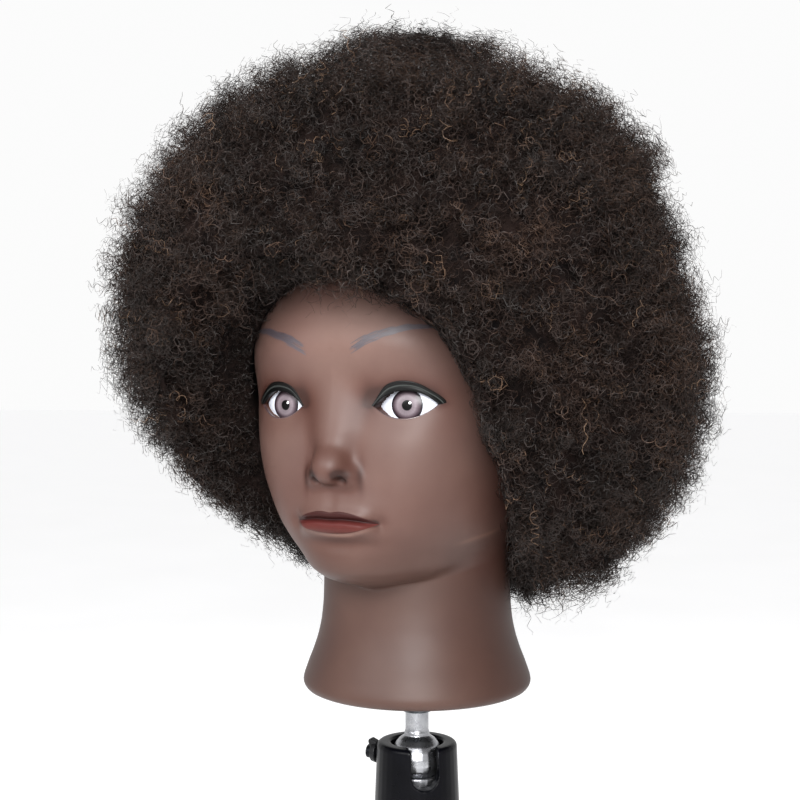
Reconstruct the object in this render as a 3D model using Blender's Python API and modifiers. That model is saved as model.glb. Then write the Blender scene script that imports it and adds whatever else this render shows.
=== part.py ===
"""Afro-hair mannequin training head on a ball-joint table clamp.

Metres, +Z up. The origin is on the table's surface, under the clamp's upper jaw and on the
post's axis. The face looks towards -Y and the mannequin's left side is +X.
"""

import math

import bmesh
import bpy
from mathutils import Matrix, Vector

# ---------------------------------------------------------------- driving dimensions
GAP = 0.0003            # clearance kept between neighbouring solids
BALL_Z = 0.205          # ball centre above the table
BALL_R = 0.016
STEM_R = 0.007
BASE_Z = BALL_Z + 0.0435    # underside of the neck

# clamp
JAW_WIDTH = 0.034
ARM_THICK = 0.025
PAD_THICK = 0.003
THROAT_DEPTH = 0.033        # spine's inner face behind the screw axis
SPINE_THICK = 0.022
THROAT_BOTTOM = -0.090
TABLE_THICK = 0.030         # table clamped at rest
SCREW_R = 0.006
BAR_R = 0.0035
BAR_LENGTH = 0.100
BAR_Z = -0.167

# post and socket
POST_R = 0.0125
POST_WALL = 0.002
BOSS_TOP = 0.062
SLEEVE_TOP = 0.0103         # rim above the ball centre
SLEEVE_LENGTH = 0.105
SLEEVE_R = 0.0255
RIM_R = 0.0240
BORE_R = 0.0164
LIP_R = 0.0156
SLOT_HALF = 0.0082
SLOT_DROP = 0.0048          # centre of the slot's round end below the ball centre
SLOT_TURN = math.radians(38.0)      # slot direction, from -Y towards +X
LOCK_R = 0.004

# head
SKIN = 0.004
HEAD_TOP = 0.286
HAIR_CENTRE = 0.219
HAIR_R = 0.172
HAIR_HEM = 0.070            # height of the hair's lower edge beside the neck
HAIR_HEM_RISE = 0.425       # and its rise towards the face

# heights above the neck's base: (height, neck radius)
NECK_STATIONS = (
    (0.000, 0.0640),
    (0.005, 0.0678),
    (0.014, 0.0653),
    (0.024, 0.0615),
    (0.033, 0.0587),
    (0.043, 0.0568),
    (0.055, 0.0558),
    (0.064, 0.0556),
)
# heights above the neck's base: (height, half width, front, back, squareness)
HEAD_STATIONS = (
    (0.068, 0.0160, 0.0660, 0.0200, 2.00),
    (0.071, 0.0270, 0.0800, 0.0280, 2.00),
    (0.074, 0.0370, 0.0880, 0.0360, 2.00),
    (0.079, 0.0460, 0.0925, 0.0440, 2.05),
    (0.086, 0.0535, 0.0945, 0.0520, 2.10),
    (0.095, 0.0600, 0.0965, 0.0620, 2.28),
    (0.105, 0.0655, 0.0985, 0.0720, 2.42),
    (0.118, 0.0700, 0.0995, 0.0820, 2.58),
    (0.131, 0.0735, 0.0995, 0.0890, 2.74),
    (0.137, 0.0742, 0.0998, 0.0907, 2.79),
    (0.150, 0.0760, 0.1005, 0.0950, 2.90),
    (0.168, 0.0770, 0.1020, 0.0980, 3.00),
    (0.185, 0.0770, 0.1050, 0.0985, 3.00),
    (0.200, 0.0768, 0.1065, 0.0980, 2.90),
    (0.215, 0.0760, 0.1055, 0.0965, 2.70),
    (0.230, 0.0740, 0.1015, 0.0930, 2.45),
    (0.245, 0.0690, 0.0930, 0.0860, 2.25),
    (0.258, 0.0610, 0.0800, 0.0760, 2.10),
    (0.270, 0.0480, 0.0620, 0.0600, 2.05),
    (0.279, 0.0330, 0.0420, 0.0410, 2.00),
    (0.284, 0.0190, 0.0240, 0.0240, 2.00),
)
NOSE_LOW, NOSE_TIP, NOSE_ROOT = 0.124, 0.137, 0.176
NOSE_OUT = 0.017
CORE_LOW, CORE_TOP = 0.010, 0.265
CHIN_TOP = 0.090

SLOT_DIR = Vector((math.sin(SLOT_TURN), -math.cos(SLOT_TURN), 0.0))


# ---------------------------------------------------------------- scene helpers
def clear_scene():
    for thing in list(bpy.data.objects):
        bpy.data.objects.remove(thing, do_unlink=True)
    for group in list(bpy.data.collections):
        bpy.data.collections.remove(group)


def new_collection(name):
    group = bpy.data.collections.new(name)
    bpy.context.scene.collection.children.link(group)
    return group


def material(name, colour, roughness, metallic=0.0):
    finish = bpy.data.materials.new(name)
    finish.use_nodes = True
    shader = finish.node_tree.nodes["Principled BSDF"]
    shader.inputs["Base Color"].default_value = (*colour, 1.0)
    shader.inputs["Roughness"].default_value = roughness
    shader.inputs["Metallic"].default_value = metallic
    return finish


def shade(mesh, angle=40.0):
    mesh.shade_smooth()
    mesh.set_sharp_from_angle(angle=math.radians(angle))


def place(name, mesh, finish, group, location=(0, 0, 0), matrix=None):
    thing = bpy.data.objects.new(name, mesh)
    group.objects.link(thing)
    if matrix is None:
        thing.location = location
    else:
        thing.matrix_world = matrix
    if finish:
        mesh.materials.append(finish)
    return thing


def as_cutter(thing):
    thing.hide_render = True
    thing.display_type = "WIRE"
    return thing


def boolean(thing, tool, operation="DIFFERENCE"):
    step = thing.modifiers.new(f"{operation.lower()}_{tool.name}", "BOOLEAN")
    step.object = tool
    step.operation = operation
    step.solver = "EXACT"
    return step


def bevel(thing, width, segments=2, angle=40.0):
    step = thing.modifiers.new("rounded_edges", "BEVEL")
    step.width = width
    step.segments = segments
    step.limit_method = "ANGLE"
    step.angle_limit = math.radians(angle)
    return step


def turned(name, profile, finish, group, steps=40, closed=True, location=(0, 0, 0), matrix=None):
    """A profile of (radius, height) points, listed down the outer side, turned about Z."""
    mesh = bpy.data.meshes.new(name)
    points = [(radius, 0.0, height) for radius, height in profile]
    edges = [(i, i + 1) for i in range(len(points) - 1)]
    if closed:
        edges.append((len(points) - 1, 0))
    mesh.from_pydata(points, edges, [])
    thing = place(name, mesh, finish, group, location, matrix)
    screw = thing.modifiers.new("turned", "SCREW")
    screw.axis = "Z"
    screw.angle = math.tau
    screw.steps = steps
    screw.render_steps = steps
    screw.use_merge_vertices = True
    screw.merge_threshold = 0.00002
    screw.use_smooth_shade = True
    return thing


def arc(centre_r, centre_z, radius, start, end, count):
    """Points on an arc of a profile; angles in degrees from +X towards +Z."""
    points = []
    for i in range(count + 1):
        a = math.radians(start + (end - start) * i / count)
        points.append((centre_r + radius * math.cos(a), centre_z + radius * math.sin(a)))
    return points


def cylinder(name, radius, length, finish, group, location=(0, 0, 0), matrix=None, sides=32):
    """A cylinder on Z whose lower end is at the origin."""
    builder = bmesh.new()
    bmesh.ops.create_cone(
        builder, cap_ends=True, segments=sides, radius1=radius, radius2=radius, depth=length,
        matrix=Matrix.Translation((0, 0, length / 2)),
    )
    mesh = bpy.data.meshes.new(name)
    builder.to_mesh(mesh)
    builder.free()
    shade(mesh)
    return place(name, mesh, finish, group, location, matrix)


def box(name, size, finish, group, location=(0, 0, 0), matrix=None):
    builder = bmesh.new()
    bmesh.ops.create_cube(builder, size=1.0, matrix=Matrix.Diagonal((*size, 1.0)))
    mesh = bpy.data.meshes.new(name)
    builder.to_mesh(mesh)
    builder.free()
    return place(name, mesh, finish, group, location, matrix)


def along(direction, origin):
    """The matrix that stands a Z-built piece along a direction from an origin."""
    turn = Vector(direction).to_track_quat("Z", "Y").to_matrix().to_4x4()
    return Matrix.Translation(origin) @ turn


def rounded_outline(corners, radius, steps=4):
    """A closed outline through corners, each rounded by an arc of the given radius."""
    outline = []
    count = len(corners)
    for i, corner in enumerate(corners):
        here = Vector(corner)
        before = (Vector(corners[i - 1]) - here).normalized()
        after = (Vector(corners[(i + 1) % count]) - here).normalized()
        half = before.angle(after) / 2
        reach = radius / math.tan(half)
        start = here + before * reach
        end = here + after * reach
        centre = here + (before + after).normalized() * (radius / math.sin(half))
        for k in range(steps + 1):
            spoke = (start - centre).lerp(end - centre, k / steps).normalized()
            outline.append(centre + spoke * radius)
    return outline


def plate(name, outline, thickness, finish, group, matrix):
    """A flat outline, extruded evenly both ways, as one welded mesh."""
    curve = bpy.data.curves.new(name, "CURVE")
    curve.dimensions = "2D"
    curve.fill_mode = "BOTH"
    curve.extrude = thickness / 2
    line = curve.splines.new("POLY")
    line.points.add(len(outline) - 1)
    for point, (x, y) in zip(line.points, outline):
        point.co = (x, y, 0.0, 1.0)
    line.use_cyclic_u = True
    sketch = bpy.data.objects.new(name + "_sketch", curve)
    group.objects.link(sketch)
    bpy.context.view_layer.update()
    ready = sketch.evaluated_get(bpy.context.evaluated_depsgraph_get())
    mesh = bpy.data.meshes.new_from_object(ready)
    bpy.data.objects.remove(sketch, do_unlink=True)
    builder = bmesh.new()
    builder.from_mesh(mesh)
    bmesh.ops.remove_doubles(builder, verts=builder.verts, dist=0.00001)
    bmesh.ops.recalc_face_normals(builder, faces=builder.faces)
    builder.to_mesh(mesh)
    builder.free()
    mesh.materials.clear()
    return place(name, mesh, finish, group, matrix=matrix)


def loft(builder, rings, cap_start=True, cap_end=True, flip=False):
    """Join rings of equal length with quads, and close the ends."""
    loops = [[builder.verts.new(point) for point in ring] for ring in rings]
    count = len(loops[0])
    for lower, upper in zip(loops, loops[1:]):
        for i in range(count):
            j = (i + 1) % count
            face = [lower[i], lower[j], upper[j], upper[i]]
            builder.faces.new(face[::-1] if flip else face)
    if cap_start:
        builder.faces.new(loops[0] if flip else loops[0][::-1])
    if cap_end:
        builder.faces.new(loops[-1][::-1] if flip else loops[-1])
    return loops


def finish_mesh(builder, name):
    bmesh.ops.recalc_face_normals(builder, faces=builder.faces)
    mesh = bpy.data.meshes.new(name)
    builder.to_mesh(mesh)
    builder.free()
    return mesh


# ---------------------------------------------------------------- head form
def nose_bump(x, height):
    """How far the nose stands out of the face at a place."""
    if height <= NOSE_LOW or height >= NOSE_ROOT:
        return 0.0
    if height < NOSE_TIP:
        rise = (height - NOSE_LOW) / (NOSE_TIP - NOSE_LOW)
    else:
        rise = (NOSE_ROOT - height) / (NOSE_ROOT - NOSE_TIP)
    half = 0.008 + 0.009 * rise
    return NOSE_OUT * rise * math.exp(-((x / half) ** 2))


def head_stations():
    """Every level of the head: (height, neck radius, half width, front, back, squareness)."""
    for height, radius in NECK_STATIONS:
        yield height, radius, radius, radius, radius, 2.0
    throat = NECK_STATIONS[-1][1]
    for height, half, front, back, power in HEAD_STATIONS:
        radius = throat if height < 0.100 else 0.0
        yield height, radius, half, front, back, power


def head_ring(station, sides, offset=0.0, nose=False):
    """One level outline of the head; a positive offset stands outside the skin."""
    height, neck, half, front, back, power = station
    ring = []
    for i in range(sides):
        a = math.tau * i / sides
        depth = front if math.sin(a) < 0 else back
        reach = (abs(math.cos(a)) / half) ** power + (abs(math.sin(a)) / depth) ** power
        radius = max(neck, reach ** (-1.0 / power)) + offset
        x = radius * math.cos(a)
        y = radius * math.sin(a)
        if nose and y < 0:
            y -= nose_bump(x, height)
        ring.append((x, y, BASE_Z + height))
    return ring


def head_skin(group, finish):
    builder = bmesh.new()
    sides = 36
    outer = [head_ring(station, sides, nose=True) for station in head_stations()]
    inner = [head_ring(station, sides, offset=-SKIN) for station in head_stations() if station[0] <= 0.270]
    outer_loops = loft(builder, outer, cap_start=False, cap_end=False)
    inner_loops = loft(builder, inner, cap_start=False, cap_end=False, flip=True)
    for loops, height, top_first in ((outer_loops, HEAD_TOP, True), (inner_loops, 0.2795, False)):
        crown = builder.verts.new((0, 0, BASE_Z + height))
        last = loops[-1]
        for i in range(sides):
            j = (i + 1) % sides
            face = [last[i], last[j], crown]
            builder.faces.new(face if top_first else face[::-1])
    for i in range(sides):
        j = (i + 1) % sides
        builder.faces.new([outer_loops[0][j], outer_loops[0][i], inner_loops[0][i], inner_loops[0][j]])
    mesh = finish_mesh(builder, "head_skin")
    shade(mesh, 60)
    return place("head_skin", mesh, finish, group)


def core_stations():
    """The head's outlines without its chin, which stays hollow."""
    for station in head_stations():
        height, neck = station[:2]
        if CORE_LOW < height < CHIN_TOP:
            yield height, neck, neck, neck, neck, 2.0
        if CHIN_TOP < height < CORE_TOP:
            yield station


def head_core(group, cutters, finish):
    builder = bmesh.new()
    sides = 36
    clear = -(SKIN + 0.0020)
    loft(builder, [head_ring(s, sides, offset=clear) for s in core_stations()])
    mesh = finish_mesh(builder, "head_core")
    shade(mesh, 60)
    core = place("head_core", mesh, finish, group)
    well = cylinder("core_well", PLUG_R + GAP, 0.055, None, cutters, (0, 0, BASE_Z - 0.003), sides=36)
    boolean(core, as_cutter(well))
    return core


# ---------------------------------------------------------------- neck fitting
PLUG_R = 0.030
PLUG_TOP = 0.050
BUSH_R = 0.010
BUSH_TOP = 0.033
WELL_R = 0.014
PLATE_R = 0.0592
PLATE_THICK = 0.003
PLATE_SCREWS = 3
PLATE_SCREW_CIRCLE = 0.0225


def plate_screw_spots():
    for i in range(PLATE_SCREWS):
        a = math.tau * i / PLATE_SCREWS + math.pi / 2
        yield PLATE_SCREW_CIRCLE * math.cos(a), PLATE_SCREW_CIRCLE * math.sin(a)


def screw_holes(cutters):
    """One drilled pattern that clears the base plate's screws."""
    builder = bmesh.new()
    for x, y in plate_screw_spots():
        bmesh.ops.create_cone(
            builder, cap_ends=True, segments=16, radius1=0.0022, radius2=0.0022, depth=0.026,
            matrix=Matrix.Translation((x, y, BASE_Z + 0.0105)),
        )
    mesh = bpy.data.meshes.new("plate_screw_holes")
    builder.to_mesh(mesh)
    builder.free()
    return as_cutter(place("plate_screw_holes", mesh, None, cutters))


def neck_plug(group, holes, finish):
    low = PLATE_THICK + GAP
    profile = [
        (PLUG_R - 0.001, PLUG_TOP), (PLUG_R, PLUG_TOP - 0.001), (PLUG_R, low),
        (BUSH_R + GAP, low), (BUSH_R + GAP, BUSH_TOP), (WELL_R, BUSH_TOP), (WELL_R, PLUG_TOP),
    ]
    plug = turned("neck_plug", profile, finish, group, 32, location=(0, 0, BASE_Z))
    boolean(plug, holes)
    return plug


def neck_bush(group, finish):
    profile = [
        (BUSH_R, BUSH_TOP - GAP), (BUSH_R, 0.0), (STEM_R + GAP, 0.0), (STEM_R + GAP, BUSH_TOP - GAP),
    ]
    return turned("neck_bush", profile, finish, group, 24, location=(0, 0, BASE_Z))


def base_plate(group, holes, finish):
    profile = [
        (PLATE_R - 0.0006, PLATE_THICK), (PLATE_R, PLATE_THICK - 0.0006), (PLATE_R, 0.0006),
        (PLATE_R - 0.0006, 0.0), (BUSH_R + GAP, 0.0), (BUSH_R + GAP, PLATE_THICK),
    ]
    disc = turned("base_plate", profile, finish, group, 36, location=(0, 0, BASE_Z))
    boolean(disc, holes)
    return disc


def fastener(name, profile, finish, group, matrix):
    """A small round-headed screw: (radius, height) rings lofted from its tip to its head."""
    builder = bmesh.new()
    rings = []
    for radius, height in profile:
        ring = []
        for i in range(14):
            a = math.tau * i / 14
            ring.append((radius * math.cos(a), radius * math.sin(a), height))
        rings.append(ring)
    loft(builder, rings)
    mesh = finish_mesh(builder, name)
    shade(mesh)
    return place(name, mesh, finish, group, matrix=matrix)


def plate_screws(group, finish):
    profile = ((0.0019, -0.018), (0.0019, GAP), (0.0036, GAP), (0.0036, 0.0012), (0.0026, 0.0021))
    for number, (x, y) in enumerate(plate_screw_spots(), start=1):
        fastener(f"plate_screw_{number}", profile, finish, group, along((0, 0, -1), (x, y, BASE_Z)))


def ball_stud(group, finish):
    """Ball, neck ring, stem and the threaded end that carries the head, turned in one piece."""
    join = math.degrees(math.acos(STEM_R / BALL_R))
    rise = BASE_Z - BALL_Z
    thread_r = 0.005
    profile = [(0.0, rise + 0.044), (thread_r - 0.0008, rise + 0.044), (thread_r, rise + 0.0432)]
    profile += [(thread_r, rise + BUSH_TOP + 0.0005), (STEM_R, rise + BUSH_TOP + 0.0005)]
    profile += [(STEM_R, 0.0170), (STEM_R + 0.0006, 0.0160)]
    profile += arc(0, 0, BALL_R, join - 2.0, -86.0, 11)
    profile += [(0.0, -BALL_R)]
    return turned("ball_stud", profile, finish, group, 28, closed=False, location=(0, 0, BALL_Z))


def stud_flange(group, finish):
    inner = STEM_R + GAP
    profile = [
        (0.0150, -0.0019), (0.0155, -0.0024), (0.0155, -0.0040), (0.0120, -0.0075),
        (0.0094, -0.0135), (0.0086, -0.0150), (inner, -0.0150), (inner, -0.0019),
    ]
    return turned("stud_flange", profile, finish, group, 24, location=(0, 0, BASE_Z))


def thrust_washer(group, finish):
    inner = STEM_R + GAP
    profile = [(0.0150, -GAP), (0.0150, -0.0016), (inner, -0.0016), (inner, -GAP)]
    return turned("thrust_washer", profile, finish, group, 24, location=(0, 0, BASE_Z))


def retaining_washer(group, finish):
    profile = [
        (0.0120, BUSH_TOP + 0.0028), (0.0120, BUSH_TOP + 0.0008),
        (0.0053, BUSH_TOP + 0.0008), (0.0053, BUSH_TOP + 0.0028),
    ]
    return turned("retaining_washer", profile, finish, group, 24, location=(0, 0, BASE_Z))


def retaining_nut(group, cutters, finish):
    low = BUSH_TOP + 0.0031
    nut = cylinder("retaining_nut", 0.0092, 0.0065, finish, group, (0, 0, BASE_Z + low), sides=6)
    hole = cylinder("nut_hole", 0.0053, 0.010, None, cutters, (0, 0, BASE_Z + low - 0.002), sides=24)
    bevel(nut, 0.0006, 1, 50)
    boolean(nut, as_cutter(hole))
    return nut


# ---------------------------------------------------------------- hair
def hair_radius(elevation):
    """The hair is a ball that hangs slightly fuller around its lower edge."""
    return HAIR_R + 0.007 * math.exp(-(((elevation + 0.80) / 0.35) ** 2))


def face_opening(cutters):
    """A flared oval tunnel in front of the face and throat."""
    builder = bmesh.new()
    rings = []
    for forward, half, low, high in (
        (0.024, 0.0560, -0.030, 0.236), (0.060, 0.0690, -0.045, 0.238), (0.100, 0.0880, -0.060, 0.236),
        (0.150, 0.1120, -0.080, 0.236), (0.200, 0.1360, -0.100, 0.240),
    ):
        middle = (low + high) / 2
        tall = (high - low) / 2
        ring = []
        for i in range(32):
            a = math.tau * i / 32
            ring.append((half * math.cos(a), -forward, BASE_Z + middle + tall * math.sin(a)))
        rings.append(ring)
    loft(builder, rings)
    return as_cutter(place("face_opening", finish_mesh(builder, "face_opening"), None, cutters))


def head_clearance(cutters):
    builder = bmesh.new()
    stations = [s for s in head_stations() if s[0] > 0.010]
    rings = [head_ring((-0.060, 0.066, 0.066, 0.066, 0.066, 2.0), 32)]
    rings += [head_ring(s, 32, offset=0.0016) for s in stations]
    rings.append(head_ring((HEAD_TOP + 0.0030, 0.0, 0.0080, 0.0090, 0.0090, 2.0), 32))
    loft(builder, rings)
    return as_cutter(place("head_clearance", finish_mesh(builder, "head_clearance"), None, cutters))


def hair_hem(cutters):
    """Everything under the sloping lower edge of the hair."""
    slope = along((0.0, HAIR_HEM_RISE, 1.0), (0, 0, BASE_Z + HAIR_HEM))
    below = Matrix.Translation((0, 0, -0.1))
    return as_cutter(box("hair_hem", (0.5, 0.5, 0.2), None, cutters, matrix=slope @ below))


def hair(group, cutters, finish):
    builder = bmesh.new()
    bmesh.ops.create_uvsphere(builder, u_segments=36, v_segments=20, radius=1.0)
    for vertex in builder.verts:
        elevation = math.asin(max(-1.0, min(1.0, vertex.co.z)))
        vertex.co *= hair_radius(elevation)
        vertex.co.z += BASE_Z + HAIR_CENTRE
        vertex.co.y += 0.006
    mesh = finish_mesh(builder, "hair_afro")
    shade(mesh, 70)
    puff = place("hair_afro", mesh, finish, group)
    boolean(puff, head_clearance(cutters))
    boolean(puff, face_opening(cutters))
    boolean(puff, hair_hem(cutters))
    return puff


# ---------------------------------------------------------------- socket on the post
def socket_sleeve(group, cutters, finish):
    bottom = SLEEVE_TOP - SLEEVE_LENGTH
    profile = arc(RIM_R - 0.0025, SLEEVE_TOP - 0.0025, 0.0025, 90, 4, 4)
    profile += [(SLEEVE_R, -0.028), (SLEEVE_R, bottom + 0.0010), (SLEEVE_R - 0.0010, bottom)]
    profile += [(BORE_R, bottom), (BORE_R, SLEEVE_TOP - 0.0035), (LIP_R, SLEEVE_TOP - 0.0025)]
    profile += [(LIP_R, SLEEVE_TOP - 0.0008), (LIP_R + 0.0008, SLEEVE_TOP)]
    sleeve = turned("socket_sleeve", profile, finish, group, 36, location=(0, 0, BALL_Z))
    boolean(sleeve, slot_cutter(cutters))
    lock_bore = cylinder(
        "lock_bore", LOCK_R + GAP, 0.016, None, cutters,
        matrix=along((-1, 0, 0), (-0.013, 0, BALL_Z)), sides=24,
    )
    boolean(sleeve, as_cutter(lock_bore))
    boolean(sleeve, sleeve_screw_holes(cutters))
    return sleeve


def slot_cutter(cutters):
    """U-shaped slot: straight sides up through the rim, round below."""
    outline = [(-SLOT_HALF, 0.020), (-SLOT_HALF, -SLOT_DROP)]
    for i in range(1, 12):
        a = math.pi + math.pi * i / 12
        outline.append((SLOT_HALF * math.cos(a), -SLOT_DROP + SLOT_HALF * math.sin(a)))
    outline += [(SLOT_HALF, -SLOT_DROP), (SLOT_HALF, 0.020)]
    across = Vector((0, 0, 1)).cross(SLOT_DIR)
    turn = Matrix((across, Vector((0, 0, 1)), across.cross(Vector((0, 0, 1))))).transposed()
    middle = SLOT_DIR * 0.020 + Vector((0, 0, BALL_Z))
    matrix = Matrix.Translation(middle) @ turn.to_4x4()
    return as_cutter(plate("stem_slot", outline, 0.026, None, cutters, matrix))


SLEEVE_SCREW_DROP = 0.072


def sleeve_screw_holes(cutters):
    builder = bmesh.new()
    for side in (-1, 1):
        bmesh.ops.create_cone(
            builder, cap_ends=True, segments=16, radius1=0.0028, radius2=0.0028, depth=0.016,
            matrix=along((0, side, 0), (0, side * 0.020, BALL_Z - SLEEVE_SCREW_DROP)),
        )
    mesh = bpy.data.meshes.new("sleeve_screw_holes")
    builder.to_mesh(mesh)
    builder.free()
    return as_cutter(place("sleeve_screw_holes", mesh, None, cutters))


def sleeve_screws(group, finish):
    profile = ((0.0025, 0.0137), (0.0025, 0.0258), (0.0048, 0.0258), (0.0048, 0.0272), (0.0032, 0.0286))
    for name, side in (("sleeve_screw_front", -1), ("sleeve_screw_rear", 1)):
        matrix = along((0, side, 0), (0, 0, BALL_Z - SLEEVE_SCREW_DROP))
        fastener(name, profile, finish, group, matrix)


def ball_seat(group, finish):
    cup = BALL_R + GAP
    top, bottom = -0.0085, -0.0240
    start = math.degrees(math.asin(top / cup))
    profile = [(BORE_R - GAP, top), (BORE_R - GAP, bottom), (0.0, bottom), (0.0, -cup)]
    profile += arc(0, 0, cup, -85, start, 8)
    return turned("ball_seat", profile, finish, group, 26, closed=True, location=(0, 0, BALL_Z))


def seat_spring(group, finish):
    turns, radius, wire = 3.5, 0.0125, 0.0012
    low, high = -0.0418 + wire, -0.0243 - wire
    count = int(turns * 14)
    curve = bpy.data.curves.new("seat_spring", "CURVE")
    curve.dimensions = "3D"
    curve.bevel_depth = wire
    curve.bevel_resolution = 1
    curve.use_fill_caps = True
    line = curve.splines.new("POLY")
    line.points.add(count)
    for i, point in enumerate(line.points):
        a = math.tau * turns * i / count
        point.co = (radius * math.cos(a), radius * math.sin(a), low + (high - low) * i / count, 1.0)
    coil = bpy.data.objects.new("seat_spring", curve)
    group.objects.link(coil)
    coil.location = (0, 0, BALL_Z)
    curve.materials.append(finish)
    return coil


def post_adapter(group, finish):
    top, bottom = -0.0421, SLEEVE_TOP - SLEEVE_LENGTH + 0.0002
    ceiling = -0.052
    outer, inner = BORE_R - GAP, POST_R + GAP
    profile = [(0.0, top), (outer, top), (outer, bottom), (inner, bottom), (inner, ceiling), (0.0, ceiling)]
    adapter = turned("post_adapter", profile, finish, group, 36, closed=False, location=(0, 0, BALL_Z))
    boolean(adapter, bpy.data.objects["sleeve_screw_holes"])
    return adapter


def post_tube(group, finish):
    low, high = 0.0420, BALL_Z - 0.0525
    inner = POST_R - POST_WALL
    profile = [(POST_R, high), (POST_R, low), (inner, low), (inner, high)]
    return turned("post_tube", profile, finish, group, 36)


# ---------------------------------------------------------------- ball lock
def pressure_pad(group, finish):
    face = BALL_R + GAP
    return cylinder(
        "pressure_pad", LOCK_R, 0.0044, finish, group,
        matrix=along((-1, 0, 0), (-(face + 0.0002), 0, BALL_Z)), sides=24,
    )


def lock_screw(group, finish):
    start = BALL_R + 0.0052
    return cylinder(
        "lock_screw", LOCK_R, 0.0330 - start, finish, group,
        matrix=along((-1, 0, 0), (-start, 0, BALL_Z)), sides=24,
    )


def lock_knob(group, cutters, finish):
    """A hub with one thumb paddle that leans outwards."""
    hub_in, hub_out = 0.0262, 0.0305
    hub = turned(
        "lock_knob",
        [(0.0, hub_out), (0.0042, hub_out), (0.0058, hub_out - 0.001), (0.0064, hub_in), (0.0, hub_in)],
        finish, group, 28, closed=False, matrix=along((-1, 0, 0), (0, 0, BALL_Z)),
    )
    outline = rounded_outline(
        ((-0.0267, 0.0000), (-0.0267, 0.0066), (-0.0312, 0.0084), (-0.0321, 0.0066), (-0.0301, 0.0000)),
        0.0008, 2,
    )
    upright = Matrix(((1, 0, 0, 0), (0, 0, -1, 0), (0, 1, 0, 0), (0, 0, 0, 1)))
    paddle = plate("paddle", outline, 0.0050, None, cutters, Matrix.Translation((0, 0, BALL_Z)) @ upright)
    boolean(hub, as_cutter(paddle), "UNION")
    bore = cylinder(
        "knob_bore", LOCK_R + GAP, 0.0200, None, cutters,
        matrix=along((-1, 0, 0), (-0.0200, 0, BALL_Z)), sides=24,
    )
    boolean(hub, as_cutter(bore))
    return hub


# ---------------------------------------------------------------- table clamp
def clamp_frame(group, cutters, finish):
    """C-shaped casting: upper arm with the post's boss, spine and threaded lower arm."""
    top = PAD_THICK + GAP + ARM_THICK
    low = THROAT_BOTTOM - ARM_THICK
    back = -(THROAT_DEPTH + SPINE_THICK)
    corners = (
        (back, low), (0.018, low), (0.018, THROAT_BOTTOM), (-THROAT_DEPTH, THROAT_BOTTOM),
        (-THROAT_DEPTH, PAD_THICK + GAP), (0.046, PAD_THICK + GAP), (0.046, top), (back, top),
    )
    across = Matrix(((0, 0, 1, 0), (1, 0, 0, 0), (0, 1, 0, 0), (0, 0, 0, 1)))
    frame = plate("clamp_frame", rounded_outline(corners, 0.005, 3), JAW_WIDTH, finish, group, across)
    bevel(frame, 0.0015, 1, 50)
    boss = turned(
        "post_boss",
        [(0.0, BOSS_TOP), (0.0185, BOSS_TOP), (0.0200, BOSS_TOP - 0.0015), (0.0205, top), (0.0205, 0.015),
         (0.0, 0.015)],
        None, cutters, 36, closed=False,
    )
    boolean(frame, as_cutter(boss), "UNION")
    socket = cylinder("post_socket", POST_R + GAP, 0.040, None, cutters, (0, 0, 0.0417), sides=36)
    boolean(frame, as_cutter(socket))
    thread = cylinder(
        "screw_thread", SCREW_R + GAP, 0.040, None, cutters, (0, 0, THROAT_BOTTOM - 0.032), sides=24,
    )
    boolean(frame, as_cutter(thread))
    holes = bmesh.new()
    for side in (-1, 1):
        bmesh.ops.create_cone(
            holes, cap_ends=True, segments=16, radius1=0.0033, radius2=0.0033, depth=0.014,
            matrix=along((side, 0, 0), (side * 0.018, 0, 0.052)),
        )
    mesh = bpy.data.meshes.new("grub_holes")
    holes.to_mesh(mesh)
    holes.free()
    boolean(frame, as_cutter(place("grub_holes", mesh, None, cutters)))
    return frame


def post_grub_screws(group, finish):
    for name, side in (("post_grub_screw_left", 1), ("post_grub_screw_right", -1)):
        matrix = along((side, 0, 0), (side * 0.0130, 0, 0.052))
        cylinder(name, 0.0030, 0.0068, finish, group, matrix=matrix, sides=16)


def jaw_pad(group, finish):
    length = 0.046 + THROAT_DEPTH - 0.010
    middle = (0.046 - THROAT_DEPTH) / 2 + 0.001
    pad = box(
        "jaw_pad", (JAW_WIDTH - 0.004, length, PAD_THICK), finish, group, (0, middle, PAD_THICK / 2),
    )
    return pad


def swivel_foot(group, finish):
    """Dished steel foot that the screw's nose turns in."""
    top = -(TABLE_THICK + PAD_THICK + GAP)
    profile = [
        (0.0, top), (0.0165, top), (0.0175, top - 0.0010), (0.0175, top - 0.0030), (0.0110, top - 0.0050),
        (0.0095, top - 0.0110), (SCREW_R - 0.0012, top - 0.0110), (SCREW_R - 0.0012, top - 0.0045),
        (0.0, top - 0.0045),
    ]
    return turned("swivel_foot", profile, finish, group, 28, closed=False)


def foot_pad(group, finish):
    return cylinder("foot_pad", 0.0165, PAD_THICK, finish, group, (0, 0, -(TABLE_THICK + PAD_THICK)))


def clamp_screw(group, cutters, finish):
    """Screw with a turned nose above and a cross-drilled head below."""
    foot_low = -(TABLE_THICK + PAD_THICK + GAP) - 0.0110
    nose = SCREW_R - 0.0015
    profile = [
        (0.0, foot_low + 0.0060), (nose, foot_low + 0.0060), (nose, foot_low - GAP),
        (SCREW_R, foot_low - 0.0015), (SCREW_R, BAR_Z + 0.0110), (0.0090, BAR_Z + 0.0090),
        (0.0090, BAR_Z - 0.0080), (0.0080, BAR_Z - 0.0090), (0.0, BAR_Z - 0.0090),
    ]
    screw = turned("clamp_screw", profile, finish, group, 28, closed=False)
    hole = cylinder(
        "bar_hole", BAR_R + GAP, 0.030, None, cutters, matrix=along((1, 0, 0), (-0.015, 0, BAR_Z)), sides=20,
    )
    boolean(screw, as_cutter(hole))
    return screw


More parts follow.
